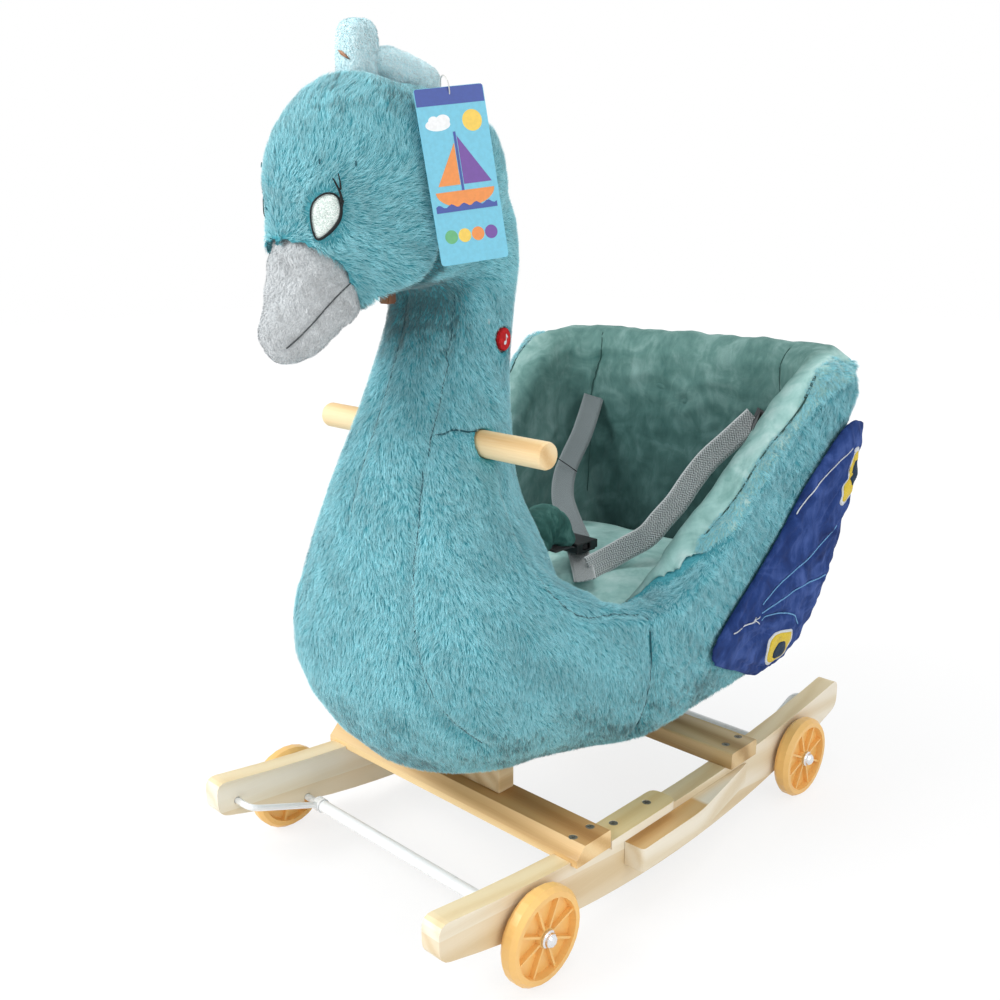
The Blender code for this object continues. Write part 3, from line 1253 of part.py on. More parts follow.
def build_all():
    for side, label in ((1, "left"), (-1, "right")):
        build_runner(side, label)
        build_footrest(side, label)
        build_foot_plate(side, label)
        build_wing(side, label)
    build_bar("front_crossbar", FRONT_BAR_Y, FRONT_BAR_SEAT_Z, "brown_pine", True)
    build_bar("rear_crossbar", REAR_BAR_Y, REAR_BAR_SEAT_Z, "pale_pine", False)
    pattern = wheel_mesh()
    for end, pivot_y, axle_y in (("front", FRONT_PIVOT_Y, FRONT_AXLE_Y), ("rear", REAR_PIVOT_Y, REAR_AXLE_Y)):
        build_crank(end, pivot_y, axle_y)
        for side, hand in ((1, "left"), (-1, "right")):
            build_wheel(f"{end}_{hand}_wheel", pattern, side, axle_y)
            build_hub_cap(f"{end}_{hand}_hub_cap", side, axle_y)
    build_boards()
    build_handle()
    build_body()
    build_head()
    build_beak()
    build_seat()
    build_crest()
    build_sound()
    build_tag()
    build_straps()
    build_buckle()
    build_crotch_strap()


build_all()
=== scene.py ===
"""Visual model of the plush rocking toy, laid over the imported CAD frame. Lengths are in metres."""

import math

import bmesh
import bpy
import numpy as np
from mathutils import Matrix, Vector
from mathutils.bvhtree import BVHTree
from mathutils.kdtree import KDTree


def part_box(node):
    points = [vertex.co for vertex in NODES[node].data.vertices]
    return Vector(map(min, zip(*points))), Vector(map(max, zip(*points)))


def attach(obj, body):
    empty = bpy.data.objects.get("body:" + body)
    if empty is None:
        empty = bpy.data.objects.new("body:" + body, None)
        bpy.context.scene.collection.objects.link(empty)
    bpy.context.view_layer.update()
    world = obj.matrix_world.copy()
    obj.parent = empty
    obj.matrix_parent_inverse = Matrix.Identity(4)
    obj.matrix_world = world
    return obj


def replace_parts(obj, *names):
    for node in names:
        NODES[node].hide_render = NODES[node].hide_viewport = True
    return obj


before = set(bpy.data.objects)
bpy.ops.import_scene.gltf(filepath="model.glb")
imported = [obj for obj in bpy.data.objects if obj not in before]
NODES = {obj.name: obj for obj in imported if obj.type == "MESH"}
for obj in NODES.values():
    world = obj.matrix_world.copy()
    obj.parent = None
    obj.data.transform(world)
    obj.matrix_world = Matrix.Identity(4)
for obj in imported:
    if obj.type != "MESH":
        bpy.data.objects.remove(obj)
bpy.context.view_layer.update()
SCENE = bpy.context.scene
FUR_SHARE = 1.0
SIDES = ((1, "left"), (-1, "right"))
FULL_TURN = 6.2832  # radians, for the sines of the weave


# Colours and materials

def srgb(code):
    """A linear colour from a hex code."""
    parts = [int(code[i:i + 2], 16) / 255 for i in (0, 2, 4)]
    return tuple(c / 12.92 if c <= 0.04045 else ((c + 0.055) / 1.055) ** 2.4 for c in parts) + (1.0,)


def colour_of(value, share=1.0):
    """A linear colour from a hex code, a grey level or a colour, times a share."""
    if isinstance(value, str):
        value = srgb(value)
    elif not isinstance(value, tuple):
        value = (value,) * 3
    return tuple(c * share for c in value[:3]) + (1.0,)


class Nodes:
    """Short calls that build a node tree."""

    def __init__(self, tree):
        self.tree = tree

    def node(self, kind, values=None, **settings):
        made = self.tree.nodes.new("ShaderNode" + kind)
        for key, value in settings.items():
            setattr(made, key, value)
        for key, value in (values or {}).items():
            if isinstance(value, bpy.types.NodeSocket):
                self.tree.links.new(value, made.inputs[key])
            else:
                made.inputs[key].default_value = srgb(value) if isinstance(value, str) else value
        return made

    def place(self, scale=(1, 1, 1)):
        source = self.node("TexCoord").outputs["Object"]
        return self.node("Mapping", {"Vector": source, "Scale": scale}).outputs["Vector"]

    def parts(self, vector):
        return self.node("SeparateXYZ", {"Vector": vector}).outputs

    def uv(self, name):
        return self.parts(self.node("UVMap", uv_map=name).outputs["UV"])

    def noise(self, vector, scale, detail=3.0, rough=0.5, distortion=0.0):
        return self.node("TexNoise", {"Vector": vector, "Scale": scale, "Detail": detail, "Roughness": rough,
                                      "Distortion": distortion}).outputs["Fac"]

    def maths(self, operation, a, b=0.0):
        return self.node("Math", {0: a, 1: b}, operation=operation).outputs[0]

    def times(self, a, b):
        return self.maths("MULTIPLY", a, b)

    def plus(self, a, b):
        return self.maths("ADD", a, b)

    def minus(self, a, b):
        return self.maths("SUBTRACT", a, b)

    def ramp(self, fac, stops):
        made = self.node("ValToRGB", {"Fac": fac})
        elements = made.color_ramp.elements
        while len(elements) < len(stops):
            elements.new(0.5)
        for element, (at, colour) in zip(elements, stops):
            element.position = at
            element.color = colour_of(colour)
        return made.outputs["Color"]

    def mix(self, fac, a, b, blend="MIX"):
        return self.node("Mix", {0: fac, 6: a, 7: b}, data_type="RGBA", blend_type=blend).outputs[2]

    def tinted(self, colour, tint):
        return self.mix(1.0, colour, tint, "MULTIPLY")

    def bump(self, height, strength, distance, below=None):
        values = {"Height": height, "Strength": strength, "Distance": distance}
        if below is not None:
            values["Normal"] = below
        return self.node("Bump", values).outputs["Normal"]

    def looked_at(self):
        """1 for rays that show a thing to the camera, 0 for those that only light."""
        ways = self.node("LightPath").outputs
        direct = self.maths("MAXIMUM", ways["Is Camera Ray"], ways["Is Glossy Ray"])
        return self.maths("MAXIMUM", direct, ways["Is Transmission Ray"])


class Paint(Nodes):
    """A Principled material: its sheen, coat and the like are constant, the rest is fed by nodes."""

    def __init__(self, name, roughness=0.6, metallic=0.0, sheen=0.0, coat=0.0, specular=0.5):
        self.material = bpy.data.materials.new(name)
        self.material.use_nodes = True
        super().__init__(self.material.node_tree)
        self.shader = self.tree.nodes["Principled BSDF"]
        for key, value in (("Roughness", roughness), ("Metallic", metallic), ("Sheen Weight", sheen),
                           ("Coat Weight", coat), ("Specular IOR Level", specular)):
            self.shader.inputs[key].default_value = value

    def feed(self, **sockets):
        for key, value in sockets.items():
            self.tree.links.new(value, self.shader.inputs[key.replace("_", " ").title()])
        return self.material


def wood(name, along, pale, mid, dark, rings=22.0, contrast=0.45, split=None, top=None, top_end=None):
    """Planed softwood: growth lines and fine pores that run along one axis.

    split is the height and slope of a glue line with darker wood below it, top a tint for upward faces
    in front of top_end."""
    p = Paint(name, roughness=0.52, coat=0.12)
    stretch = [1.0, 1.0, 1.0]
    stretch["XYZ".index(along)] = 0.07
    wide = p.place(stretch)
    fine = p.place([v * 4 if v == 1.0 else 0.1 for v in stretch])
    swirl = p.noise(wide, 9.0, 4.0, 0.5, 0.6)
    lines = p.node("TexWave", {"Vector": wide, "Scale": rings, "Distortion": 5.5, "Detail": 3.0,
                               "Detail Scale": 0.8}, bands_direction="DIAGONAL").outputs["Fac"]
    pores = p.noise(fine, 190.0, 3.0, 0.6)
    grain = p.plus(p.times(lines, contrast), p.times(swirl, 1 - contrast))
    colour = p.ramp(grain, [(0.25, pale), (0.52, mid), (0.78, dark)])
    colour = p.mix(p.times(pores, 0.30), colour, p.ramp(pores, [(0.3, dark), (0.7, pale)]))
    if split:
        _, y, z = p.parts(p.place())
        above = p.minus(z, p.plus(p.times(y, split[1]), split[0]))
        below = p.ramp(p.plus(p.times(above, 100.0), 0.5), [(0.47, 1.0), (0.53, 0.0)])
        colour = p.mix(below, colour, p.tinted(colour, (0.93, 0.86, 0.75, 1.0)))
    if top:
        up = p.parts(p.node("NewGeometry").outputs["Normal"])[2]
        share = p.ramp(up, [(0.6, 0.0), (0.9, 1.0)])
        if top_end is not None:
            behind = p.minus(p.parts(p.place())[1], top_end)
            share = p.times(share, p.ramp(p.plus(p.times(behind, 20.0), 0.5), [(0.45, 1.0), (0.55, 0.0)]))
        colour = p.mix(share, colour, p.tinted(colour, top))
    rough = p.ramp(grain, [(0.2, 0.42), (0.8, 0.6)])
    return p.feed(base_color=colour, roughness=rough, normal=p.bump(pores, 0.25, 0.0003))


def velvet(name, dark, mid, pale, crush=24.0, sheen=0.35, hollow=False):
    """Short pile cloth: brushed light and dark patches over a fine nap.

    A hollow one gets painted shade low inside the tub and a painted sheen highlight where it rolls outwards, most
    on the left."""
    p = Paint(name, roughness=0.82, sheen=sheen, specular=0.25)
    p.shader.inputs["Sheen Roughness"].default_value = 0.45
    p.shader.inputs["Sheen Tint"].default_value = srgb(pale)
    place = p.place()
    patches = p.noise(place, crush, 4.0, 0.55, 1.4)
    streaks = p.noise(p.place((1.0, 1.0, 0.35)), crush * 3.2, 3.0, 0.6, 0.8)
    nap = p.noise(place, 900.0, 2.0, 0.6)
    tone = p.plus(p.times(patches, 0.68), p.times(streaks, 0.32))
    colour = p.ramp(tone, [(0.30, dark), (0.50, mid), (0.70, pale)])
    colour = p.mix(p.times(nap, 0.22), colour, dark)
    if hollow:
        x, _, z = p.parts(place)
        # Painted shade: darker with depth below the rim
        depth_shade = p.ramp(z, [(0.28, (0.16, 0.21, 0.22, 1)), (0.40, (0.36, 0.44, 0.45, 1)),
                          (0.48, (0.86, 0.88, 0.88, 1)), (0.52, (0.72, 0.74, 0.74, 1))])
        colour = p.tinted(colour, depth_shade)
        # How far a place lies outside the flaring wall
        out = p.minus(p.maths("ABSOLUTE", x), p.times(p.minus(z, 0.336), 0.32))
        # Painted sheen highlight, paler where the wall rolls outwards, strongest on the left, the near side
        rim_highlight = p.ramp(tone, [(0.30, "80aea8"), (0.50, "a3cdc8"), (0.70, "cbe6e3")])
        lit_side = p.ramp(p.plus(x, 0.5), [(0.45, 0.30), (0.55, 1.0)])
        share = p.times(p.ramp(out, [(0.120, 0.0), (0.142, 1.0)]), lit_side)
        colour = p.mix(share, colour, rim_highlight)
    normal = p.bump(streaks, 0.35, 0.0014, p.bump(nap, 0.45, 0.0006))
    return p.feed(base_color=colour, normal=normal)


def plastic(name, colour, roughness, grain=0.08, mottle=0.08):
    """Moulded plastic, a little cloudy, with a fine skin."""
    p = Paint(name, roughness=roughness)
    place = p.place()
    clouds = p.noise(place, 26.0, 3.0)
    skin = p.noise(place, 1400.0, 2.0)
    rough = p.ramp(clouds, [(0.3, roughness - 0.05), (0.7, roughness + 0.07)])
    return p.feed(base_color=p.ramp(clouds, [(0.35, colour_of(colour, 1 - 2 * mottle)), (0.65, colour)]),
                  roughness=rough, normal=p.bump(skin, grain, 0.0002))


def metal(name, colour, roughness, metallic, wear):
    """Bare or coated metal with small worn specks."""
    p = Paint(name, roughness=roughness, metallic=metallic, coat=0.0 if metallic else 0.3)
    place = p.place()
    haze = p.noise(place, 60.0, 4.0, 0.6)
    specks = p.noise(place, 700.0, 3.0, 0.7)
    rough = p.ramp(haze, [(0.35, roughness * 0.8), (0.7, roughness * 1.5)])
    return p.feed(base_color=p.ramp(p.times(specks, haze), [(0.10, wear), (0.20, colour)]),
                  roughness=rough, normal=p.bump(specks, 0.10, 0.0002))


def pile_fur(name, root, mid, tip):
    """Hair colour from the blade's own map: across is its tint, up is root to tip."""
    p = Paint(name, roughness=0.72, sheen=0.4, specular=0.25)
    across, up, _ = p.uv("OFBake")
    # Darker towards the root: painted shade low in the pile
    along = p.ramp(up, [(0.05, root), (0.5, mid), (1.0, tip)])
    # The tint is each blade's own tone, and at its dark low end the painted shade that grow_pile takes off it
    tint = p.ramp(across, [(0.0, 0.26), (0.16, 0.70), (0.35, 0.88), (0.6, 0.98), (1.0, 1.12)])
    return p.feed(base_color=p.tinted(along, tint))


def pile_base(name, dark, light):
    """The woven ground under the pile."""
    p = Paint(name, roughness=0.95, specular=0.1)
    strands = p.noise(p.place(), 260.0, 3.0, 0.7, 0.8)
    return p.feed(base_color=p.ramp(strands, [(0.35, dark), (0.7, light)]), normal=p.bump(strands, 0.8, 0.0025))


def webbing(name, dark, light, relief=0.6):
    """Herringbone tape: diagonal ribs that turn back on themselves across the width, and a plain selvedge."""
    p = Paint(name, roughness=0.72, sheen=0.12, specular=0.35)
    across, along, _ = p.uv("weave")
    cell = p.maths("PINGPONG", p.times(across, 5.0), 0.5)
    ribs = p.maths("SINE", p.times(p.plus(p.times(along, 330.0), p.times(cell, 2.4)), FULL_TURN))
    yarn = p.maths("SINE", p.times(across, FULL_TURN * 24))
    weave = p.plus(p.times(ribs, relief), p.times(yarn, 0.2))
    fuzz = p.noise(p.place(), 1500.0, 2.0)
    tone = p.plus(p.times(weave, 0.45), fuzz)
    edge = p.ramp(p.maths("ABSOLUTE", p.minus(across, 0.5)), [(0.43, 0.0), (0.47, 0.7)])
    colour = p.mix(edge, p.ramp(tone, [(0.15, dark), (0.85, light)]), light)
    return p.feed(base_color=colour, normal=p.bump(weave, 0.6, 0.0006))


def thread(name, colour):
    p = Paint(name, roughness=0.6, specular=0.3)
    twist = p.noise(p.place(), 2600.0, 2.0)
    return p.feed(base_color=p.ramp(twist, [(0.35, colour_of(colour, 0.55)), (0.65, colour)]),
                  normal=p.bump(twist, 0.5, 0.0004))


def glitter(name, colour):
    """Glittered cloth: flat flakes that each catch the light their own way."""
    p = Paint(name, roughness=0.4, metallic=0.05)
    level = p.parts(p.node("TexVoronoi", {"Vector": p.place(), "Scale": 1500.0}).outputs["Color"])
    tone = p.ramp(level[0], [(0.0, colour_of(colour, 0.62)), (0.45, colour), (1.0, (0.97, 0.99, 0.97, 1))])
    return p.feed(base_color=tone, roughness=p.ramp(level[1], [(0.0, 0.18), (1.0, 0.6)]),
                  normal=p.bump(level[2], 0.5, 0.0006))


def card(name, colour):
    p = Paint(name, roughness=0.35, coat=0.25)
    mottle = p.noise(p.place(), 320.0, 3.0)
    return p.feed(base_color=p.ramp(mottle, [(0.4, colour_of(colour, 0.93)), (0.6, colour)]),
                  normal=p.bump(mottle, 0.06, 0.0002))


# Pale, middle and dark tones of the woods, and tints for upward faces
PINE = ("f8f1e1", "f2e8d2", "e4d3b1")
BROWN = ("fbdda6", "f0cb90", "cfa567")
TAN = ("e2c896", "cfae7a", "a98550")
BROWN_TOP = (0.60, 0.47, 0.34, 1.0)
RUNNER_TOP = (0.96, 0.86, 0.66, 1.0)
MAT = {
    "pine_step": wood("step pine", "Y", *PINE, contrast=0.30, top=(0.94, 0.80, 0.50, 1.0)),
    "pine_plate": wood("plate pine", "Y", *PINE, contrast=0.30, top=(0.80, 0.58, 0.32, 1.0), top_end=0.025),
    "runner_left": wood("near runner pine", "Y", *PINE, contrast=0.30, split=(0.0528, -0.107), top=RUNNER_TOP),
    "runner_right": wood("far runner pine", "Y", *PINE, contrast=0.30, split=(0.0356, -0.105), top=RUNNER_TOP),
    "pine_x": wood("handle pine", "X", "f8e3b9", "edce99", "d0a365", 14.0, 0.35),
    "brown_x": wood("brown pine", "X", *BROWN, rings=16.0, top=BROWN_TOP),
    "tan_x": wood("tan pine", "X", *TAN, rings=16.0),
    "ply": wood("plywood", "Y", "e4cfa6", "d2b586", "b18f5f", contrast=0.3),
    "brown_ply": wood("bare board corner", "Z", "a9744c", "8b5a38", "6b4229"),
    "fur": pile_fur("teal fur", "58adb8", "8ad5e0", "baecf3"),
    "fur_base": pile_base("teal fur ground", "3f92a0", "63b5c2"),
    "beak": pile_fur("grey pile", "c2c7ca", "e0e4e6", "f4f6f7"),
    "beak_base": pile_base("grey pile ground", "b8bdc0", "d8dcde"),
    "crest": pile_fur("pale blue pile", "cdeff5", "e3f8fc", "f6feff"),
    "crest_base": pile_base("pale blue ground", "c6ebf2", "dff6fa"),
    "velvet": velvet("green velvet", "446f6a", "688f89", "93b5b0", hollow=True),
    # A lit copy of the green velvet: its paler tones are painted light on the cushion, which faces up into the
    # light
    "velvet_lit": velvet("green velvet, painted light", "7eaca7", "9fcac5", "c2e0dc"),
    # A shaded copy of the green velvet: its darker tones are painted shade in the gathered folds
    "velvet_shaded": velvet("green velvet, painted fold shade", "1f423d", "33605a", "5c8a83", 40.0),
    "wing": velvet("blue velvet", "122455", "23407f", "4f69ad", 24.0, 0.25),
    "web": webbing("grey webbing", "2f3637", "dde3e4"),
    "web_plain": webbing("grey webbing, back", "525b5d", "7c8587", 0.25),
    "web_black": webbing("black webbing", "17191a", "3c4042", 0.4),
    "black": plastic("black nylon", "1b1c1e", 0.42, 0.2),
    "amber": plastic("amber plastic", "fac878", 0.38, 0.05, 0.03),
    "white_steel": metal("white powder coat", "f2f3f3", 0.34, 0.0, "e6e8e8"),
    "bright": metal("bright plate", "e3e4e6", 0.2, 1.0, "a8a9ac"),
    "zinc": metal("screw steel", "8f8a7d", 0.40, 0.6, "4c473d"),
    "felt": velvet("red felt", "8f0d12", "c2181d", "dd3a3c", 300.0, 0.2),
    "grey_plastic": plastic("plain plastic", "d6d6d2", 0.5),
    # Thread for the brow stitches, also laid along the fur seams as painted shade of the parted seam grooves
    "seam": thread("dark thread and painted seam shade", "2a6470"),
    "ink": thread("black thread", "14191b"),
    "grey_thread": thread("grey thread", "4f5557"),
    "green_thread": thread("green thread", "2c534d"),
    "white_thread": thread("white thread", "f4faff"),
    "blue_thread": thread("light blue thread", "7fbdf0"),
    "yellow": thread("yellow felt", "fbdc4b"),
    "navy": thread("navy felt", "0f3350"),
    "eye": glitter("eye cloth", "d9eae3"),
    "card_blue": card("card, light blue", "6fc6e0"),
    "card_navy": card("card, dark blue", "27479f"),
    "card_white": card("card, white", "f4f6f7"),
    "card_orange": card("card, orange", "ef8f3a"),
    "card_yellow": card("card, yellow", "f6cf4e"),
    "card_purple": card("card, purple", "6a3a9c"),
    "card_green": card("card, green", "5bb274"),
}


# Meshes

def link(obj):
    SCENE.collection.objects.link(obj)
    return obj


def dress(mesh, material):
    mesh.materials.clear()
    mesh.materials.append(MAT[material])


def piece(name, mesh, material, body="toy", smooth=True):
    """A visible piece that rides on a body."""
    obj = link(bpy.data.objects.new(name, mesh))
    dress(mesh, material)
    if smooth:
        mesh.polygons.foreach_set("use_smooth", [True] * len(mesh.polygons))
    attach(obj, body)
    return obj


def mesh_from(name, points, faces):
    mesh = bpy.data.meshes.new(name)
    mesh.from_pydata([tuple(p) for p in points], [], [tuple(f) for f in faces])
    mesh.update()
    return mesh


def triangles_of(mesh):
    """Vertices, vertex normals and triangles as arrays."""
    mesh.calc_loop_triangles()
    points = np.empty(len(mesh.vertices) * 3)
    normals = np.empty(len(mesh.vertices) * 3)
    corners = np.empty(len(mesh.loop_triangles) * 3, np.int32)
    mesh.vertices.foreach_get("co", points)
    mesh.vertices.foreach_get("normal", normals)
    mesh.loop_triangles.foreach_get("vertices", corners)
    return points.reshape(-1, 3), normals.reshape(-1, 3), corners.reshape(-1, 3)


def moved(mesh, points):
    mesh.vertices.foreach_set("co", np.asarray(points, float).ravel())
    mesh.update()


def refaced(mesh, bevel=0.0):
    """The mesh with its faces turned outwards, its edges rounded first if asked."""
    bm = bmesh.new()
    bm.from_mesh(mesh)
    if bevel:
        bmesh.ops.bevel(bm, geom=bm.edges[:], offset=bevel, segments=2, affect="EDGES")
    bmesh.ops.recalc_face_normals(bm, faces=bm.faces)
    bm.to_mesh(mesh)
    bm.free()
    return mesh


def modified(obj, name):
    """The object's mesh with its modifiers done; the object itself goes."""
    made = bpy.data.meshes.new_from_object(obj.evaluated_get(bpy.context.evaluated_depsgraph_get()))
    bpy.data.objects.remove(obj)
    made.name = name
    return made


def unit(vectors):
    return vectors / np.maximum(np.linalg.norm(vectors, axis=1), 1e-9)[:, None]


def flattened(vectors, normals):
    """The vectors without their part along the normals."""
    return vectors - normals * (vectors * normals).sum(1)[:, None]


def remeshed(name, nodes, voxel, rounds=3):
    """One even mesh through the nodes' outer shapes."""
    bm = bmesh.new()
    for node in nodes:
        bm.from_mesh(NODES[node].data)
    mesh = bpy.data.meshes.new(name)
    bm.to_mesh(mesh)
    bm.free()
    obj = link(bpy.data.objects.new(name, mesh))
    step = obj.modifiers.new("even mesh", "REMESH")
    step.mode = "VOXEL"
    step.voxel_size = voxel
    soften = obj.modifiers.new("soften", "SMOOTH")
    soften.factor = 0.5
    soften.iterations = rounds
    return modified(obj, name)


def tree_of(nodes):
    """One search tree over the nodes' surfaces."""
    points, faces = [], []
    for node in nodes:
        p, _, t = triangles_of(NODES[node].data)
        faces += (t + len(points)).tolist()
        points += p.tolist()
    return BVHTree.FromPolygons(points, faces)


def surface(points, mesh):
    """A search tree over the mesh's faces, its vertices being at the points."""
    return BVHTree.FromPolygons(points.tolist(), [tuple(p.vertices) for p in mesh.polygons])


def smoothstep(x, low, high):
    t = np.clip((x - low) / (high - low), 0, 1)
    return t * t * (3 - 2 * t)


def bell(x, width):
    """1 at 0, falling off to nothing on both sides."""
    return np.exp(-(x / width) ** 2)


def raised(points, normals, by):
    """The points moved along their normals, each by its own measure."""
    return points + normals * by[:, None]


def clear_of(points, tree, low, high, reach=0.03):
    """0 within the low distance from a surface, 1 beyond the high one."""
    found = np.full(len(points), reach)
    for i, p in enumerate(points):
        near = tree.find_nearest(p, reach)
        if near[0] is not None:
            found[i] = near[3]
    return smoothstep(found, low, high)


def waves(points, size, seed):
    """Smooth unevenness between -1 and 1, with bumps of about the given size."""
    rng = np.random.default_rng(seed)
    total = np.zeros(len(points))
    for _ in range(6):
        ray = rng.normal(size=3)
        ray *= rng.uniform(0.6, 1.5) * 2 * math.pi / size / np.linalg.norm(ray)
        total += np.sin(points @ ray + rng.uniform(0, 2 * math.pi))
    return total / 3.2


def spline(points, count, closed=False):
    """Points along a smooth curve through the given ones."""
    p = np.array(points, float)
    n = len(p)
    out = []
    spans = n if closed else n - 1
    for k in range(count):
        t = k * spans / (count if closed else count - 1)
        i = min(int(t), spans - 1)
        f = t - i
        if closed:
            a, b, c, d = (p[(i + j) % n] for j in (-1, 0, 1, 2))
        else:
            a, b, c, d = (p[min(max(i + j, 0), n - 1)] for j in (-1, 0, 1, 2))
        out.append(0.5 * (2 * b + (c - a) * f + (2 * a - 5 * b + 4 * c - d) * f ** 2
                          + (3 * b - a - 3 * c + d) * f ** 3))
    return np.array(out)


def line_distance(points, *lines):
    """Distance from each point to the nearest of the polylines."""
    best = np.full(len(points), 1.0)
    for line in lines:
        for a, b in zip(line[:-1], line[1:]):
            span = b - a
            t = np.clip((points - a) @ span / max(span @ span, 1e-12), 0, 1)
            best = np.minimum(best, np.linalg.norm(points - a - t[:, None] * span, axis=1))
    return best


def ring_faces(rows, cols, base=0, closed=False):
    """Quads between neighbouring rings of points."""
    faces = []
    for r in range(rows if closed else rows - 1):
        low, high = base + r * cols, base + (r + 1) % rows * cols
        for k in range(cols):
            after = (k + 1) % cols
            faces.append((low + k, low + after, high + after, high + k))
    return faces


def tube(name, line, radius, sides=6, flat=1.0, normals=None, closed=False):
    """A round or flattened thread along a line; its flat side follows the normals."""
    line = np.array(line, float)
    n = len(line)
    radius = np.broadcast_to(radius, n)
    rings = []
    for i in range(n):
        ahead = line[(i + 1) % n] if closed or i < n - 1 else line[i]
        behind = line[i - 1] if closed or i > 0 else line[i]
        along = ahead - behind
        along /= max(np.linalg.norm(along), 1e-9)
        up = np.array(normals[i] if normals is not None else (0.0, 0.0, 1.0))
        side = np.cross(along, up)
        if np.linalg.norm(side) < 1e-6:
            side = np.cross(along, (1.0, 0.0, 0.0))
        side /= np.linalg.norm(side)
        up = np.cross(side, along)
        swell = 1.0 if closed or 0 < i < n - 1 else 0.5
        for k in range(sides):
            angle = 2 * math.pi * k / sides
            rings.append(line[i] + radius[i] * swell * (side * math.cos(angle) + up * math.sin(angle) * flat))
    faces = ring_faces(n, sides, closed=closed)
    if not closed:
        faces += [tuple(reversed(range(sides))), tuple(range((n - 1) * sides, n * sides))]
    return mesh_from(name, rings, faces)


def snapped(points, tree, lift):
    """The points put on the nearest place of a surface and lifted off it, with its normals."""
    out, normals = [], []
    for p in points:
        place, normal, _, _ = tree.find_nearest(Vector(p), 0.1)
        out.append(np.array(place + normal * lift))
        normals.append(np.array(normal))
    return np.array(out), np.array(normals)


# The photograph's camera: lens and sensor in mm, azimuth, pitch and roll in degrees, place
LENS = 39.38
SENSOR = 36.0
CAMERA_ANGLES = (44.129, 14.681, -0.336)
CAMERA_PLACE = (0.72656, -0.82388, 0.64393)
LENS_PIXELS = 1000 * LENS / SENSOR


def camera_matrix():
    az, el, turn = (math.radians(v) for v in CAMERA_ANGLES)
    back = Vector((math.sin(az) * math.cos(el), -math.cos(az) * math.cos(el), math.sin(el)))
    right = Vector((math.cos(az), math.sin(az), 0))
    up = back.cross(right)
    x = math.cos(turn) * right + math.sin(turn) * up
    y = -math.sin(turn) * right + math.cos(turn) * up
    return Matrix.Translation(CAMERA_PLACE) @ Matrix((x, y, back)).transposed().to_4x4()


def nudged(points, table):
    """Local shifts of a soft skin, each with its place on the left side, its reach and its shift.

    All but those on the middle plane are mirrored."""
    points = np.array(points, float)
    total = np.zeros_like(points)
    for place, reach, shift in table:
        for side in ((-1, 1) if place[0] else (1,)):
            flip = np.array([side, 1, 1])
            away = np.linalg.norm(points - np.array(place) * flip, axis=1)
            total += bell(away, reach)[:, None] * np.array(shift) * flip
    return points + total


def sight(px, py, reach=0.0):
    """The line of sight through a place in the photograph: the point at that reach and the direction."""
    where = camera_matrix()
    ray = where.to_3x3() @ Vector(((px - 500) / LENS_PIXELS, (500 - py) / LENS_PIXELS, -1))
    ray.normalize()
    return where.translation + ray * reach, ray


def seen(tree, places):
    """Places in the photograph put on a surface."""
    out = []
    for px, py in places:
        start, ray = sight(px, py)
        found = tree.ray_cast(start, ray)[0]
        if found is None:
            reach = (Vector(out[-1]) - start).length if out else 1.0
            found = tree.find_nearest(start + ray * reach)[0]
        out.append(np.array(found))
    return np.array(out)


def evened(line, rounds=3, closed=False):
    """The line with its small unevenness smoothed out."""
    line = np.array(line)
    for _ in range(rounds):
        before, after = np.roll(line, 1, 0), np.roll(line, -1, 0)
        if not closed:
            before[0], after[-1] = line[0], line[-1]
        line = line * 0.5 + (before + after) * 0.25
    return line


def patch(name, outline, tree, lift, thick, material, rows=6):
    """A thin piece of cloth inside an outline, laid on a surface."""
    centre = outline.mean(0)
    shares = [k / rows for k in range(rows, 0, -1)]
    top = [centre + (outline - centre) * s for s in shares] + [centre[None]]
    levels = [lift + thick * min(1.0, 3.5 * (1 - s)) for s in shares] + [lift + thick]
    points, n = [], len(outline)
    for ring, level in zip(top, levels):
        points += snapped(ring, tree, level)[0].tolist()
    base = len(points)
    points += snapped(outline, tree, lift - thick)[0].tolist()
    faces = ring_faces(rows, n)
    for k in range(n):
        faces.append(((rows - 1) * n + k, (rows - 1) * n + (k + 1) % n, rows * n))
        faces.append((base + (k + 1) % n, (k + 1) % n, k, base + k))
    faces.append(tuple(base + k for k in range(n)))
    return piece(name, refaced(mesh_from(name, points, faces)), material)


def stitch(name, line, tree, lift, radius, material, before=0, after=0, sides=6, flat=0.8, closed=False):
    """A thread laid on a surface, its line evened so many times before and after."""
    line, normals = snapped(evened(line, before), tree, lift)
    mesh = tube(name, evened(line, after, closed), radius, sides, flat, normals, closed)
    return piece(name, mesh, material)


# Pile and fur

BLADES_PER_PIECE = 65000
SHORTEST_SHARE = 0.08
CM2_PER_M2 = 1e4
# Share of its length, up and along, at which a blade bends, and how far its root is sunk in the skin
BEND_UP, BEND_ALONG = 0.72, 0.38
ROOT_SUNK = 0.0008


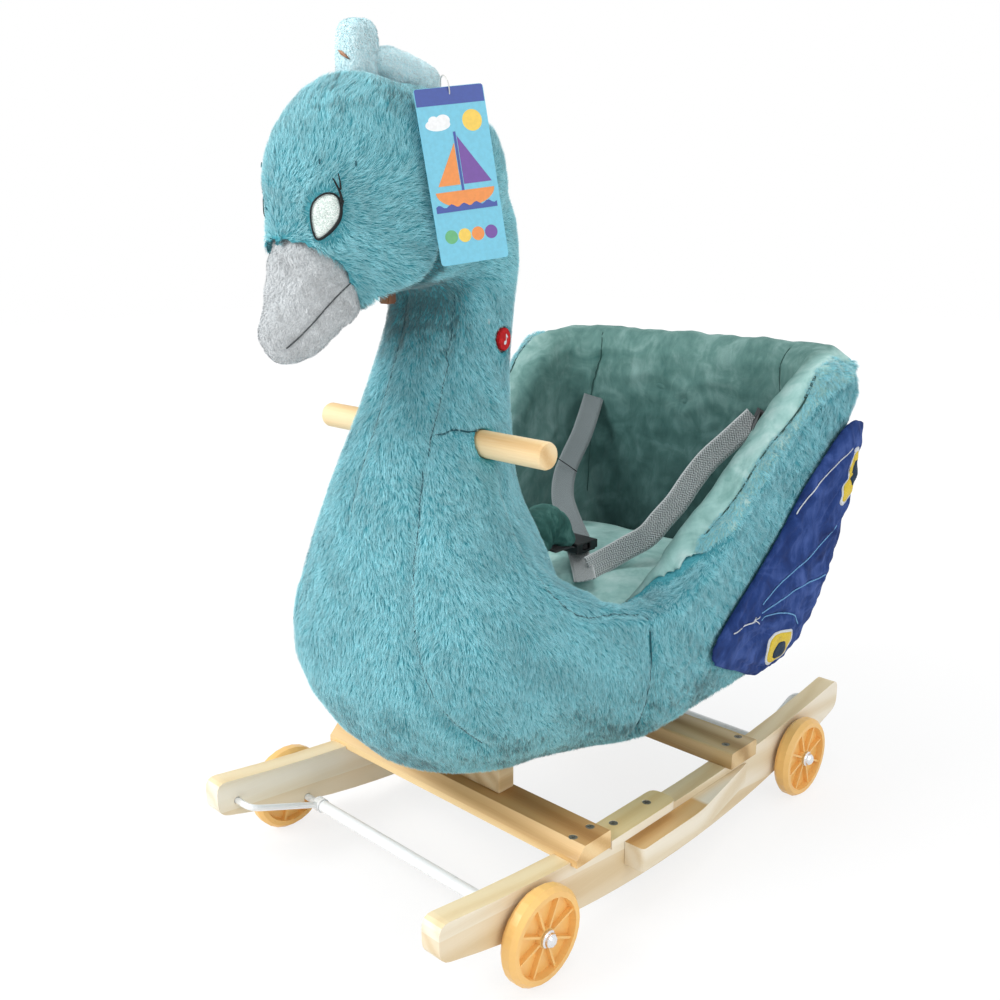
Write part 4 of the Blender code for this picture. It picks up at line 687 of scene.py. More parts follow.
def grow_pile(name, mesh, material, slot, flow, blocks, seed, per_cm2, length, width, reach, lift, clump, pull,
              shade=None):
    """Combed hair on a skin: three triangles a blade, tips gathered into tufts.

    flow gives the comb direction and blocks the share of the full length at each skin vertex. The tip lies
    reach lengths along the skin and lift above it, pulled towards the middle of a tuft clump wide."""
    rng = np.random.default_rng(seed)
    points, normals, corners = triangles_of(mesh)
    comb, share = flow(points, normals), blocks(points)
    a, b, c = (points[corners[:, k]] for k in range(3))
    size = np.linalg.norm(np.cross(b - a, c - a), axis=1) / 2
    weight = size * (share[corners].mean(1) > 0.05)
    count = int(weight.sum() * CM2_PER_M2 * per_cm2 * FUR_SHARE)
    chosen = rng.choice(len(corners), count, p=weight / weight.sum())
    u, v = rng.random((2, count, 1))
    u, v = np.where(u + v > 1, 1 - u, u), np.where(u + v > 1, 1 - v, v)
    tri = corners[chosen]

    def blend(values):
        return values[tri[:, 0]] * (1 - u - v) + values[tri[:, 1]] * u + values[tri[:, 2]] * v

    root, up, along = blend(points), blend(normals), blend(comb)
    long = blend(share[:, None])[:, 0]
    keep = long > SHORTEST_SHARE
    root, up, along, long = root[keep], up[keep], along[keep], long[keep]
    count = len(root)
    up = unit(up)
    long = long * length * rng.uniform(0.7, 1.2, count)
    along = unit(flattened(along + rng.normal(scale=0.28, size=(count, 3)), up))
    rise = lift * rng.uniform(0.75, 1.25, count)
    tip = root + up * (rise * long)[:, None] + along * (reach * long)[:, None]
    middle = root + up * (rise * long * BEND_UP)[:, None] + along * (reach * long * BEND_ALONG)[:, None]

    centres = rng.choice(count, max(8, int(weight.sum() / clump ** 2)), replace=False)
    tree = KDTree(len(centres))  # tufts
    for i, k in enumerate(centres):
        tree.insert(root[k], i)
    tree.balance()
    home = np.array([tree.find(p)[1] for p in root])
    tuft = centres[home]
    gather = pull * rng.uniform(0.5, 1.2, count)[:, None] * np.minimum(1.0, long[:, None] / length)
    tip += (tip[tuft] - tip) * gather
    middle += (middle[tuft] - middle) * gather * 0.45
    # Light and dark by tuft, by blade and in soft clouds
    tint = 0.52 + 0.13 * rng.normal(size=len(centres))[home] + 0.15 * rng.normal(size=count)
    tint += 0.18 * waves(root, 0.05, seed + 1)
    tint = np.clip(tint, 0.20, 0.98)
    # Painted shade: the tint is lowered where the fur lies in the shade or away from the light
    if shade is not None:
        tint = np.maximum(tint - shade(root), 0.02)

    side = unit(np.cross(along + 0.25 * rng.normal(size=(count, 3)), up))
    half = side * (width / 2 * rng.uniform(0.75, 1.25, count))[:, None]
    root = root - up * ROOT_SUNK
    verts = np.stack([root - half, root + half, middle + half * 0.8, middle - half * 0.8, tip], 1)
    for k, first in enumerate(range(0, count, BLADES_PER_PIECE)):
        part = slice(first, min(count, first + BLADES_PER_PIECE))
        n = part.stop - part.start
        index = (np.arange(n) * 5)[:, None] + np.array([0, 1, 2, 0, 2, 3, 3, 2, 4])
        blade = bpy.data.meshes.new(f"{name}_{k + 1}")
        blade.vertices.add(n * 5)
        blade.vertices.foreach_set("co", verts[part].ravel())
        blade.loops.add(n * 9)
        blade.loops.foreach_set("vertex_index", index.ravel().astype(np.int32))
        blade.polygons.add(n * 3)
        blade.polygons.foreach_set("loop_start", np.arange(0, n * 9, 3, dtype=np.int32))
        blade.update(calc_edges=True)
        layer = blade.uv_layers.new(name="OFBake")
        heights = np.tile([0.02, 0.02, 0.45, 0.45, 0.98], n)
        across = np.repeat(tint[part], 5)
        flat = index.ravel()
        layer.data.foreach_set("uv", np.stack([across[flat], heights[flat]], 1).ravel())
        piece(f"{name}_{k + 1}", blade, material)


# Camera, light and floor

# Name, place, power and size
LAMPS = (("key", (-0.9, -2.0, 1.9), 44.0, 1.2), ("fill", (2.2, -0.4, 1.3), 11.0, 1.6),
         ("top", (0.1, 0.0, 2.4), 10.0, 1.0))
FLOOR = [(-6, -6, 0), (6, -6, 0), (6, 6, 0), (-6, 6, 0)]


def build_stage():
    """White floor and surroundings as the camera sees them, a little darker as light."""
    data = bpy.data.cameras.new("photo view")
    data.lens = LENS
    data.sensor_width = SENSOR
    data.clip_start = 0.01
    camera = link(bpy.data.objects.new("photo view", data))
    camera.matrix_world = camera_matrix()
    SCENE.camera = camera
    SCENE.view_settings.view_transform = "Standard"

    floor = link(bpy.data.objects.new("floor", mesh_from("floor", FLOOR, [(0, 1, 2, 3)])))
    p = Paint("floor", roughness=0.9, specular=0.1)
    p.feed(base_color=p.ramp(p.noise(p.place(), 40.0), [(0.0, 0.86), (1.0, 0.88)]))
    glow = p.node("Emission", {"Color": (1, 1, 1, 1), "Strength": 1.06})
    away = p.node("VectorMath", {0: p.place()}, operation="LENGTH").outputs["Value"]
    share = p.ramp(p.times(away, 0.25), [(0.12, 0.74), (0.34, 1.0)])
    soft = p.node("MixShader", {0: share, 1: p.shader.outputs[0], 2: glow.outputs[0]})
    both = p.node("MixShader", {0: p.looked_at(), 1: p.shader.outputs[0], 2: soft.outputs[0]})
    p.tree.links.new(both.outputs[0], p.tree.nodes["Material Output"].inputs["Surface"])
    floor.data.materials.append(p.material)

    world = bpy.data.worlds.new("studio")
    SCENE.world = world
    world.use_nodes = True
    sky = Nodes(world.node_tree)
    background = sky.tree.nodes["Background"].inputs
    background["Color"].default_value = (1, 1, 1, 1)
    level = sky.node("MapRange", {"Value": sky.looked_at(), "To Min": 0.66, "To Max": 1.0})
    sky.tree.links.new(level.outputs[0], background["Strength"])

    for name, place, power, size in LAMPS:
        lamp = bpy.data.lights.new(name, "AREA")
        lamp.energy = power
        lamp.size = size
        obj = link(bpy.data.objects.new(name, lamp))
        aim = Vector((0, 0, 0.35)) - Vector(place)
        obj.matrix_world = Matrix.Translation(place) @ aim.to_track_quat("-Z", "Y").to_matrix().to_4x4()


# The plush skin: head, neck and tub are one furry surface

# The left eye's outline, its upper lashes and the stitches over its brow
EYE_OUTLINE = ((0.0313, -0.3106, 0.6458), (0.0333, -0.3100, 0.6523), (0.0376, -0.3075, 0.6573),
               (0.0434, -0.3034, 0.6601), (0.0482, -0.2990, 0.6590), (0.0503, -0.2963, 0.6543),
               (0.0506, -0.2953, 0.6471), (0.0486, -0.2960, 0.6398), (0.0440, -0.2990, 0.6328),
               (0.0378, -0.3025, 0.6266), (0.0330, -0.3054, 0.6242), (0.0312, -0.3073, 0.6290),
               (0.0308, -0.3096, 0.6375))
LASHES = (((0.0509, -0.2955, 0.6522), (0.0504, -0.2966, 0.6601), (0.0473, -0.3002, 0.6701)),
          ((0.0505, -0.2957, 0.6490), (0.0520, -0.2944, 0.6543)))
FAR_EYE_SHIFT = np.array([0.0, 0.012, 0.0])
DIMPLES = ((0.0376, -0.3060, 0.6824), (0.0575, -0.2870, 0.6808))
# Seams between the fur panels; all but the last one, which lies on the middle plane, are mirrored
CHEST_SEAM = ((0.0556, -0.2226, 0.4436), (0.0669, -0.2488, 0.3640), (0.0729, -0.2569, 0.3145),
              (0.0917, -0.2534, 0.2464), (0.1080, -0.2007, 0.1859))
HANDLE_SEAM = ((0.0533, -0.2118, 0.4649), (0.0719, -0.1719, 0.4650))
SIDE_SEAM = ((0.1543, -0.0418, 0.2788), (0.1597, -0.0286, 0.2126), (0.1331, -0.0188, 0.1445))
LEG_SEAM = ((0.0869, -0.1505, 0.4150), (0.0976, -0.1415, 0.3825), (0.1068, -0.1411, 0.3604),
            (0.1199, -0.1424, 0.3415), (0.1259, -0.1385, 0.3299), (0.1356, -0.1334, 0.3123),
            (0.1422, -0.1205, 0.2955), (0.1454, -0.0989, 0.2836), (0.1488, -0.0709, 0.2785),
            (0.1543, -0.0418, 0.2788))
THROAT_SEAM = ((0.0436, -0.1720, 0.5804), (0.0440, -0.1777, 0.5522), (0.0473, -0.1862, 0.5244),
               (0.0524, -0.2013, 0.4830), (0.0556, -0.2226, 0.4436))
FRONT_SEAM = ((0.0, -0.1911, 0.5798), (0.0, -0.2031, 0.5378), (0.0, -0.2103, 0.5206), (0.0, -0.2241, 0.4887),
              (0.0, -0.2355, 0.4644), (0.0, -0.2551, 0.4221), (0.0, -0.2660, 0.3850))
# Shifts of the skin to the photograph's outline: place, reach, shift
RIM_NUDGES = (((0.208, 0.222, 0.465), 0.036, (0.0090, 0.0090, 0.0)),
              ((0.206, 0.230, 0.500), 0.020, (-0.0080, -0.0060, -0.0090)))
PLUSH_NUDGES = (((0.135, -0.075, 0.283), 0.045, (0.0, 0.0, 0.014)),
                ((0.082, -0.108, 0.378), 0.055, (-0.014, -0.011, 0.0)),
                ((0.030, -0.266, 0.588), 0.022, (0.003, 0.0, -0.018)),
                ((0.066, -0.238, 0.603), 0.022, (0.004, -0.002, -0.003)),
                ((0.0, -0.313, 0.626), 0.020, (0.0, -0.006, -0.009)),
                ((0.026, -0.296, 0.616), 0.020, (0.005, -0.006, -0.009)),
                ((0.090, -0.225, 0.280), 0.080, (0.007, -0.007, 0.0)),
                ((0.020, -0.295, 0.735), 0.040, (0.0, 0.003, -0.003))) + RIM_NUDGES
# The crease under the cheek, where the head overhangs the neck
CHEEK_LINE = ((0.0300, -0.2560, 0.5800), (0.0425, -0.2493, 0.5868), (0.0543, -0.2351, 0.5913),
              (0.0680, -0.2245, 0.6038), (0.0744, -0.2225, 0.6170), (0.0777, -0.2252, 0.6271))
CHEEK_CENTRE = (0.048, -0.270, 0.632)
CHIN_HEIGHT = 0.585
CREASE_DEPTH, CHEEK_SWELL = 0.0060, 0.0035
SEAM_DEPTH, SEAM_WIDTH = 0.0042, 0.0065
PILE_HEIGHT = 0.0032
EYE_REACH = 0.0125
PLUSH_PILE = {"per_cm2": 76.0, "length": 0.0086, "width": 0.00046, "clump": 0.0045, "pull": 0.28}
SHORT_PILE = {"width": 0.00045, "reach": 0.8, "lift": 0.4, "clump": 0.0035, "pull": 0.3}


def mirrored(points, side):
    return [(side * x, y, z) for x, y, z in points]


def seam_lines():
    lines = [spline(FRONT_SEAM, 12)]
    for side in (-1, 1):
        for seam in (THROAT_SEAM, CHEST_SEAM, HANDLE_SEAM, SIDE_SEAM, LEG_SEAM):
            lines.append(spline(mirrored(seam, side), 4 * len(seam)))
    return lines


def eye_places():
    return [np.array(mirrored(EYE_OUTLINE, side)).mean(0) for side in (-1, 1)]


def from_eye(points, eye):
    """Directions away from an eye and the distance from it, the eye being taller than wide."""
    away = (points - eye) * np.array([1.0, 1.0, 0.72])
    return points - eye, np.linalg.norm(away, axis=1)


def fur_flow(points, normals):
    """Up over the brow, back from the beak over the cheeks, and down the neck and the tub."""
    down = np.tile([0.0, 0.25, -1.0], (len(points), 1))
    back = points - np.array([0.0, -0.335, 0.600])
    back[:, 2] -= 0.02
    brow = smoothstep(points[:, 2], 0.665, 0.700)[:, None]
    head = unit(back) * (1 - brow) + np.array([0.0, 0.25, 1.0]) * brow
    share = smoothstep(points[:, 2], 0.56, 0.61)[:, None]
    comb = down * (1 - share) + head * share
    for eye in eye_places():
        way, away = from_eye(points, eye)
        near = (1 - smoothstep(away, EYE_REACH, 0.024))[:, None]
        comb = comb * (1 - near) + unit(way) * near
    side = smoothstep(np.abs(points[:, 0]), 0.10, 0.14) * smoothstep(points[:, 1], -0.06, 0.02)
    turn = 0.40 * waves(points, 0.055, 5) + 1.1 * side * waves(points, 0.016, 6)
    comb = flattened(comb, normals)
    return unit(comb + np.cross(normals, comb) * turn[:, None])


def crown_dip(points):
    """The crown of the head sinks a little behind the brow, under the crest."""
    dip = 0.013 * smoothstep(points[:, 1], -0.262, -0.210) * smoothstep(points[:, 2], 0.700, 0.752)
    return points - np.outer(dip, (0, 0, 1))


def past_cheek(points):
    """Distances from the crease under the cheek, positive below and behind it."""
    line = spline(CHEEK_LINE, 40)
    places = points.copy()
    places[:, 0] = np.abs(places[:, 0])
    away = np.linalg.norm(places[:, None, :] - line[None], axis=2)
    nearest = away.argmin(1)
    reach = np.linalg.norm(places - np.array(CHEEK_CENTRE), axis=1)
    edge = np.linalg.norm(line - np.array(CHEEK_CENTRE), axis=1)[nearest]
    return np.where(reach > edge, 1.0, -1.0) * away.min(1)


def shaded(points):
    """How far the fur lies in the shade or away from the light: under the cheek and the belly, on the crown."""
    past = past_cheek(points)
    crease = bell(past - 0.007, 0.009) * smoothstep(past, -0.001, 0.002)
    neck = bell(np.maximum(CHIN_HEIGHT - points[:, 2], 0), 0.042) * smoothstep(-points[:, 1], 0.150, 0.185)
    neck *= (1 - smoothstep(np.abs(points[:, 0]), 0.045, 0.065)) * smoothstep(past, 0.002, 0.010)
    neck *= (1 - smoothstep(points[:, 2], CHIN_HEIGHT, 0.598)) * smoothstep(points[:, 1], -0.250, -0.235)
    belly = 0.32 * (1 - smoothstep(points[:, 2], 0.12, 0.28))
    crown = 0.22 * smoothstep(points[:, 2], 0.695, 0.735)
    return np.clip(crease + 0.9 * neck + belly + crown, 0, 1)


def build_fur():
    soft = ("body_plush", "head_plush", "neck_board")
    skin = remeshed("plush_skin", soft, 0.004)
    points, normals, _ = triangles_of(skin)
    passing = soft + ("hang_tag", "tag_loop", "sound_module", "seat_liner", "crest_front_lobe",
                      "crest_rear_lobe", "beak")
    around = tree_of([n for n in NODES if n not in passing])
    liner = tree_of(["seat_liner"])
    tag = tree_of(["hang_tag"])
    room = clear_of(points, around, 0.002, 0.013) * clear_of(points, liner, 0.001, 0.004)
    points = raised(points, normals, -PILE_HEIGHT * room)
    seams = [nudged(line, PLUSH_NUDGES) for line in seam_lines()]
    points = nudged(points, PLUSH_NUDGES)
    past = past_cheek(points)
    cheek = CHEEK_SWELL * bell(past + 0.009, 0.008) - CREASE_DEPTH * bell(past - 0.006, 0.0055)
    points = raised(points, normals, cheek)
    points = raised(points, normals, -SEAM_DEPTH * bell(line_distance(points, *seams), SEAM_WIDTH))
    points = crown_dip(points)
    moved(skin, points)
    base = piece("plush_skin", skin, "fur_base")
    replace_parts(base, "body_plush", "head_plush")

    def blocks(points):
        share = clear_of(points, around, 0.0012, 0.008) * clear_of(points, liner, 0.0012, 0.003)
        share *= 0.45 + 0.55 * clear_of(points, tag, 0.002, 0.02)
        share *= 0.06 + 0.94 * smoothstep(line_distance(points, *seams), 0.0012, 0.0075)
        for eye, (side, _) in zip(eye_places(), SIDES[::-1]):
            rim = spline(mirrored(EYE_OUTLINE, side), 48, closed=True)
            share *= smoothstep(line_distance(points, rim), 0.0012, 0.0045)
            share *= from_eye(points, eye)[1] > EYE_REACH
        return share

    grow_pile("plush_fur", skin, "fur", "fur", fur_flow, blocks, 11, reach=0.92, lift=0.26, shade=shaded,
              **PLUSH_PILE)
    tree = surface(points, skin)
    # The seams are real grooves, and the thread laid in them is painted shade of the parted fur
    for k, line in enumerate(seams):
        stitch(f"plush_seam_{k + 1}", line, tree, 0.0010, 0.0008, "seam", before=3)
    return tree


def build_eyes(skin):
    third_lash = seen(skin, [(341, 190), (340.5, 182), (338.5, 174)])
    count = 56
    upper = np.clip(np.sin(np.pi * (np.arange(count) / count - 0.28) / 0.58), 0, 1)
    for side, label in SIDES:
        shift, high = (0, 0.0032) if side > 0 else (FAR_EYE_SHIFT, 0.0016)
        outline = spline(mirrored(EYE_OUTLINE, side), count, closed=True) + shift
        centre = outline.mean(0)
        outline = centre + (outline - centre) * 0.96
        white = patch(f"{label}_eye", centre + (outline - centre) * 0.97, skin, high - 0.001, 0.0014, "eye")
        stitch(f"{label}_eye_rim", outline, skin, high, 0.00075 + 0.00055 * upper ** 2, "ink", after=4,
               flat=0.7, closed=True)
        for k, (lash, radius) in enumerate(zip(LASHES + (third_lash,), (0.0013, 0.0009, 0.0009))):
            stitch(f"{label}_lash_{k + 1}", spline(mirrored(lash, side), 14) + shift, skin, 0.0046,
                   np.linspace(radius, radius * 0.4, 14), "ink")
        for k, dimple in enumerate(DIMPLES):
            mark = [Vector(dimple) + Vector((0.0010, 0, z)) for z in (0.0020, 0.0, -0.0020)]
            stitch(f"{label}_brow_stitch_{k + 1}", spline(mirrored(mark, side), 8), skin, 0.0028, 0.0007,
                   "seam")


def build_throat():
    """The bare corner of the neck board that shows between the chin and the neck."""
    corners = [(-0.2165, 0.5700), (-0.2060, 0.5700), (-0.2060, 0.5900), (-0.2130, 0.5900)]
    points = [(x, y, z) for x in (-0.006, 0.006) for y, z in corners]
    faces = [(0, 1, 2, 3), (7, 6, 5, 4)] + [(k, k + 4, (k + 1) % 4 + 4, (k + 1) % 4) for k in range(4)]
    mesh = refaced(mesh_from("neck_board_corner", points, faces), bevel=0.0012)
    piece("neck_board_corner", mesh, "brown_ply", smooth=False)


# Beak and crest

BEAK_SEAM = ((352, 282), (337, 296), (317, 319), (299, 338), (285, 350))
BEAK_NUDGES = (((0.030, -0.280, 0.584), 0.024, (0.0110, 0.0060, -0.0150)),
               ((0.028, -0.304, 0.563), 0.022, (0.0060, 0.0075, -0.0020)),
               ((0.020, -0.318, 0.545), 0.020, (0.0060, 0.0070, -0.0010)),
               ((0.0, -0.331, 0.550), 0.022, (0.0, -0.0120, -0.0010)),
               ((0.0, -0.328, 0.594), 0.020, (0.0, 0.0090, 0.0)))


def short_pile(name, node, mesh, shrink, material, slot, per_cm2, length, flow, seed, nudges=(), seams=()):
    """A stuffed piece with a short pile over it; seams are places in the photograph, mirrored."""
    points, normals, _ = triangles_of(mesh)
    points = nudged(points - normals * shrink, nudges)
    points = raised(points, normals, 0.0008 * waves(points, 0.018, seed))
    bare = surface(points, mesh)
    lines = [spline(seen(bare, s), 24) for s in seams]
    lines += [line * np.array([-1, 1, 1]) for line in lines]
    if lines:
        points = raised(points, normals, -0.0016 * bell(line_distance(points, *lines), 0.003))
    moved(mesh, points)
    base = piece(name, mesh, material + "_base")
    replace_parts(base, node)

    def blocks(points):
        return smoothstep(line_distance(points, *lines), 0.0006, 0.0024)

    grow_pile(name + "_pile", mesh, material, slot, flow, blocks, seed, per_cm2, length, **SHORT_PILE)
    tree = surface(points, mesh)
    for k, line in enumerate(lines):
        stitch(f"{name}_seam_{k + 1}", line, tree, 0.0009, 0.0006, "grey_thread", after=3, sides=5)
    return tree


def away_from(place, drift=(0.0, 0.0, 0.0)):
    """A comb direction away from a place, with a drift."""
    def flow(points, normals):
        comb = unit(points - np.array(place)) + np.array(drift)
        comb += 0.6 * np.stack([waves(points, 0.03, 30 + k) for k in range(3)], 1)
        return unit(flattened(comb, normals))
    return flow


def soft_block(name, centre, half, power, pitch=0.0, rows=40, cols=64):
    """A stuffed block: an ellipsoid squared off by its power and tipped about X."""
    def squared(v):
        return np.sign(v) * np.abs(v) ** (2 / power)

    rise = np.linspace(-math.pi / 2, math.pi / 2, rows + 1)[1:-1]
    turn = np.arange(cols) * 2 * math.pi / cols
    wide, high = squared(np.cos(rise)), squared(np.sin(rise))
    points = [(0.0, 0.0, -half[2])]
    for w, h in zip(wide, high):
        for x, y in zip(squared(np.cos(turn)), squared(np.sin(turn))):
            points.append((half[0] * w * x, half[1] * w * y, half[2] * h))
    points.append((0.0, 0.0, half[2]))
    last = len(points) - 1
    faces = [(0, 1 + (k + 1) % cols, 1 + k) for k in range(cols)] + ring_faces(rows - 1, cols, 1)
    top = last - cols
    faces += [(last, top + k, top + (k + 1) % cols) for k in range(cols)]
    mesh = mesh_from(name, points, faces)
    mesh.transform(Matrix.Translation(centre) @ Matrix.Rotation(pitch, 4, "X"))
    return mesh


def build_beak():
    short_pile("beak_plush", "beak", remeshed("beak_plush", ("beak",), 0.0025, 2), 0.0009, "beak", "beak_plush",
               130.0, 0.0030, away_from((0.0, -0.25, 0.66), (0.0, -0.4, -0.8)), 21, BEAK_NUDGES, (BEAK_SEAM,))


def build_crest():
    """A squared upright lobe and a flat one lying back behind it."""
    front = soft_block("crest_front", (0, -0.2345, 0.7670), (0.0150, 0.0160, 0.0265), 3.4)
    skin = short_pile("crest_front", "crest_front_lobe", front, 0.0008, "crest", "crest_velvet", 150.0, 0.0024,
                      away_from((0.0, -0.234, 0.80)), 22)
    rear = soft_block("crest_rear", (0, -0.1930, 0.7545), (0.0250, 0.0380, 0.0165), 2.8, math.radians(-14))
    short_pile("crest_rear", "crest_rear_lobe", rear, 0.0008, "crest", "crest_velvet", 150.0, 0.0024,
               away_from((0.0, -0.235, 0.765), (0.0, 0.6, 0.0)), 23)
    label = seen(skin, [(339, 50), (343, 51), (348, 56), (351, 60), (347, 58), (342, 55)])
    patch("crest_label", label, skin, 0.0014, 0.0005, "brown_ply", 3)


# Seat: liner, cushion, crotch tube

BACK_SEAM = ((-0.1295, 0.2433, 0.5037), (-0.1230, 0.2323, 0.4744), (-0.1308, 0.2271, 0.4395),
             (-0.1290, 0.2150, 0.3800), (-0.1240, 0.2050, 0.3000))
CREASES = (((-0.100, 0.230, 0.300), (-0.070, 0.235, 0.350), (-0.045, 0.240, 0.400)),
           ((-0.040, 0.232, 0.290), (-0.020, 0.236, 0.330), (0.010, 0.240, 0.365)),
           ((0.060, 0.230, 0.285), (0.070, 0.236, 0.330), (0.100, 0.236, 0.370)),
           ((-0.110, 0.210, 0.290), (-0.115, 0.220, 0.340), (-0.105, 0.230, 0.380)),
           ((0.000, 0.240, 0.430), (0.040, 0.242, 0.445), (0.080, 0.240, 0.440)),
           ((-0.140, 0.170, 0.330), (-0.150, 0.190, 0.380), (-0.150, 0.200, 0.430)))


def pressed(points, normals, lines, depth, width):
    """Grooves along the lines, with the cloth bulging beside them."""
    for line in lines:
        near = line_distance(points, line)
        points = raised(points, normals, -depth * (bell(near, width) - 0.45 * bell(near - 2.2 * width, width)))
    return points


# The upper edge of the fur on the tub's rim, as places in the photograph, and its y and height at the back
RIM_EDGE = ((829, 345), (818, 370), (806, 400), (788, 425), (770, 445), (752, 472), (735, 500), (718, 520),
            (700, 540))
RIM_BACK, RIM_BACK_TOP = 0.256, 0.492


def build_liner():
    mesh = remeshed("seat_velvet", ("seat_liner",), 0.003, 3)
    points, normals, _ = triangles_of(mesh)
    points = nudged(points, RIM_NUDGES)
    edge = spline(seen(surface(points, mesh), RIM_EDGE), 60)
    rising = edge[edge[:, 2].argsort()]

    def past_rim(points):
        """How far a place lies outside the edge of the fur."""
        side = np.abs(points[:, 0]) - np.interp(points[:, 2], rising[:, 2], rising[:, 0])
        return np.maximum(side, np.minimum(points[:, 1] - RIM_BACK, RIM_BACK_TOP - points[:, 2]))

    seams = [spline(mirrored(BACK_SEAM, side), 30) for side in (-1, 1)]
    creases = [spline(mirrored(c, side), 16) for c in CREASES for side in (-1, 1)]
    body = tree_of(["body_plush"])
    groove = 0.0018 * bell(past_rim(points), 0.0022) * clear_of(points, body, 0.0025, 0.006)
    points = raised(points, normals, -groove)
    points = pressed(points, normals, seams, 0.0018, 0.0022)
    points = pressed(points, normals, creases, 0.0030, 0.006)
    points = raised(points, normals, 0.0014 * waves(points, 0.06, 41) + 0.0006 * waves(points, 0.02, 42))
    moved(mesh, points)
    liner = piece("seat_velvet", mesh, "velvet")
    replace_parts(liner, "seat_liner")

    def blocks(points):
        return smoothstep(past_rim(points), -0.0035, -0.0005) * clear_of(points, body, 0.001, 0.004)

    grow_pile("rim_fur", mesh, "fur", "fur", fur_flow, blocks, 12, reach=0.90, lift=0.28, **PLUSH_PILE)
    tree = surface(points, mesh)
    for (_, label), seam in zip(SIDES[::-1], seams):
        stitch(f"seat_seam_{label}", seam, tree, 0.0003, 0.0006, "green_thread", before=3)
    for side, label in SIDES:
        stitch(f"rim_seam_{label}", edge * np.array([side, 1, 1]), tree, 0.0006, 0.0009, "green_thread",
               before=8, after=6)
    return tree


def build_cushion():
    mesh = remeshed("seat_cushion_velvet", ("seat_cushion",), 0.004, 4)
    points, normals, _ = triangles_of(mesh)
    middle = np.hypot(points[:, 0] / 0.13, (points[:, 1] - 0.095) / 0.12)
    crown = 0.005 * (1 - smoothstep(middle, 0.3, 1.0)) - 0.002 * smoothstep(middle, 0.85, 1.05)
    points[:, 2] += crown * (normals[:, 2] > 0.3)
    points = raised(points, normals, 0.0008 * waves(points, 0.05, 43))
    moved(mesh, points)
    # The cushion wears the lit copy of the green velvet: painted light
    cushion = piece("seat_cushion_velvet", mesh, "velvet_lit")
    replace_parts(cushion, "seat_cushion")


def build_crotch_tube():
    mesh = remeshed("crotch_tube", ("crotch_strap",), 0.0018, 2)
    points, normals, _ = triangles_of(mesh)
    along = np.arctan2(points[:, 2] - 0.296, points[:, 1] + 0.012)
    folds = np.abs(np.sin(along * 9 + 1.4 * waves(points, 0.03, 44)))
    points = raised(points, normals, (0.0045 + 0.0022 * (folds - 0.6)) * smoothstep(points[:, 2], 0.302, 0.312))
    points += np.outer(smoothstep(points[:, 2], 0.305, 0.325), (-0.003, -0.004, 0.006))
    moved(mesh, points)
    # The gathered tube wears the shaded copy of the green velvet: painted shade
    made = piece("crotch_tube", mesh, "velvet_shaded")
    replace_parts(made, "crotch_strap")
    route = spline([(0, -0.006, 0.3030), (0, 0.008, 0.3035), (0, 0.020, 0.3030), (0, 0.028, 0.3005)], 16)
    woven("crotch_webbing", [(route, np.tile([1.0, 0.0, 0.0], (16, 1)), 0.027, 0.0016)], "web_black")


# Harness straps

# Stations of the straps as places in the photograph and their distances from its camera, from anchor to buckle
NEAR_STRAP = ((755, 417, 1.238), (730, 440, 1.222), (708, 460, 1.210), (692, 480, 1.200), (677, 502, 1.188),
              (662, 519, 1.178), (647, 536, 1.170), (626, 548, 1.168), (607, 559, 1.160), (590, 568, 1.142))
NEAR_LOOP = ((577, 547, 1.188), (580, 558, 1.172), (583, 570, 1.140), (585, 580, 1.112))
FAR_STRAP = ((594, 396, 1.372), (588, 416, 1.348), (581, 436, 1.330), (572, 455, 1.312), (566, 470, 1.294),
             (563, 484, 1.276), (563, 499, 1.257), (567, 513, 1.238), (573, 528, 1.219), (579, 541, 1.200))
WEB_COLUMNS = 6


def woven(name, bands, material):
    """Flat woven bands in one piece: each has a route, directions across it, a width and a thickness."""
    points, faces, maps = [], [], []
    ring = 2 * WEB_COLUMNS + 2
    for route, turns, width, thick in bands:
        base, count, travelled = len(points), len(route), 0.0
        for k in range(count):
            along = route[min(k + 1, count - 1)] - route[max(k - 1, 0)]
            along = along / np.linalg.norm(along)
            if k:
                travelled += np.linalg.norm(route[k] - route[k - 1])
            across = turns[k] - along * (turns[k] @ along)
            across = across / np.linalg.norm(across)
            up = np.cross(across, along)
            for j in range(ring):
                top = j <= WEB_COLUMNS
                t = j / WEB_COLUMNS if top else (ring - 1 - j) / WEB_COLUMNS
                edge = 0.45 if t in (0.0, 1.0) else 1.0
                cup = 0.0010 * (1 - (2 * t - 1) ** 2)
                half = thick / 2 if top else -thick / 2
                points.append(route[k] + across * (t - 0.5) * width + up * (cup + half * edge))
                maps.append((t, travelled))
        faces += ring_faces(count, ring, base)
        faces += [tuple(range(base, base + ring)), tuple(reversed(range(len(points) - ring, len(points))))]
    mesh = refaced(mesh_from(name, points, faces))
    layer = mesh.uv_layers.new(name="weave")
    for loop in mesh.loops:
        layer.data[loop.index].uv = maps[loop.vertex_index]
    return piece(name, mesh, material)


def to_camera(points):
    return np.array(camera_matrix().translation) - points


def strap_route(stations, count):
    """Points of a strap, and directions across it that keep its face to the photograph's camera."""
    route = spline([sight(px, py, reach)[0] for px, py, reach in stations], count)
    return route, unit(np.cross(to_camera(route), np.gradient(route, axis=0)))


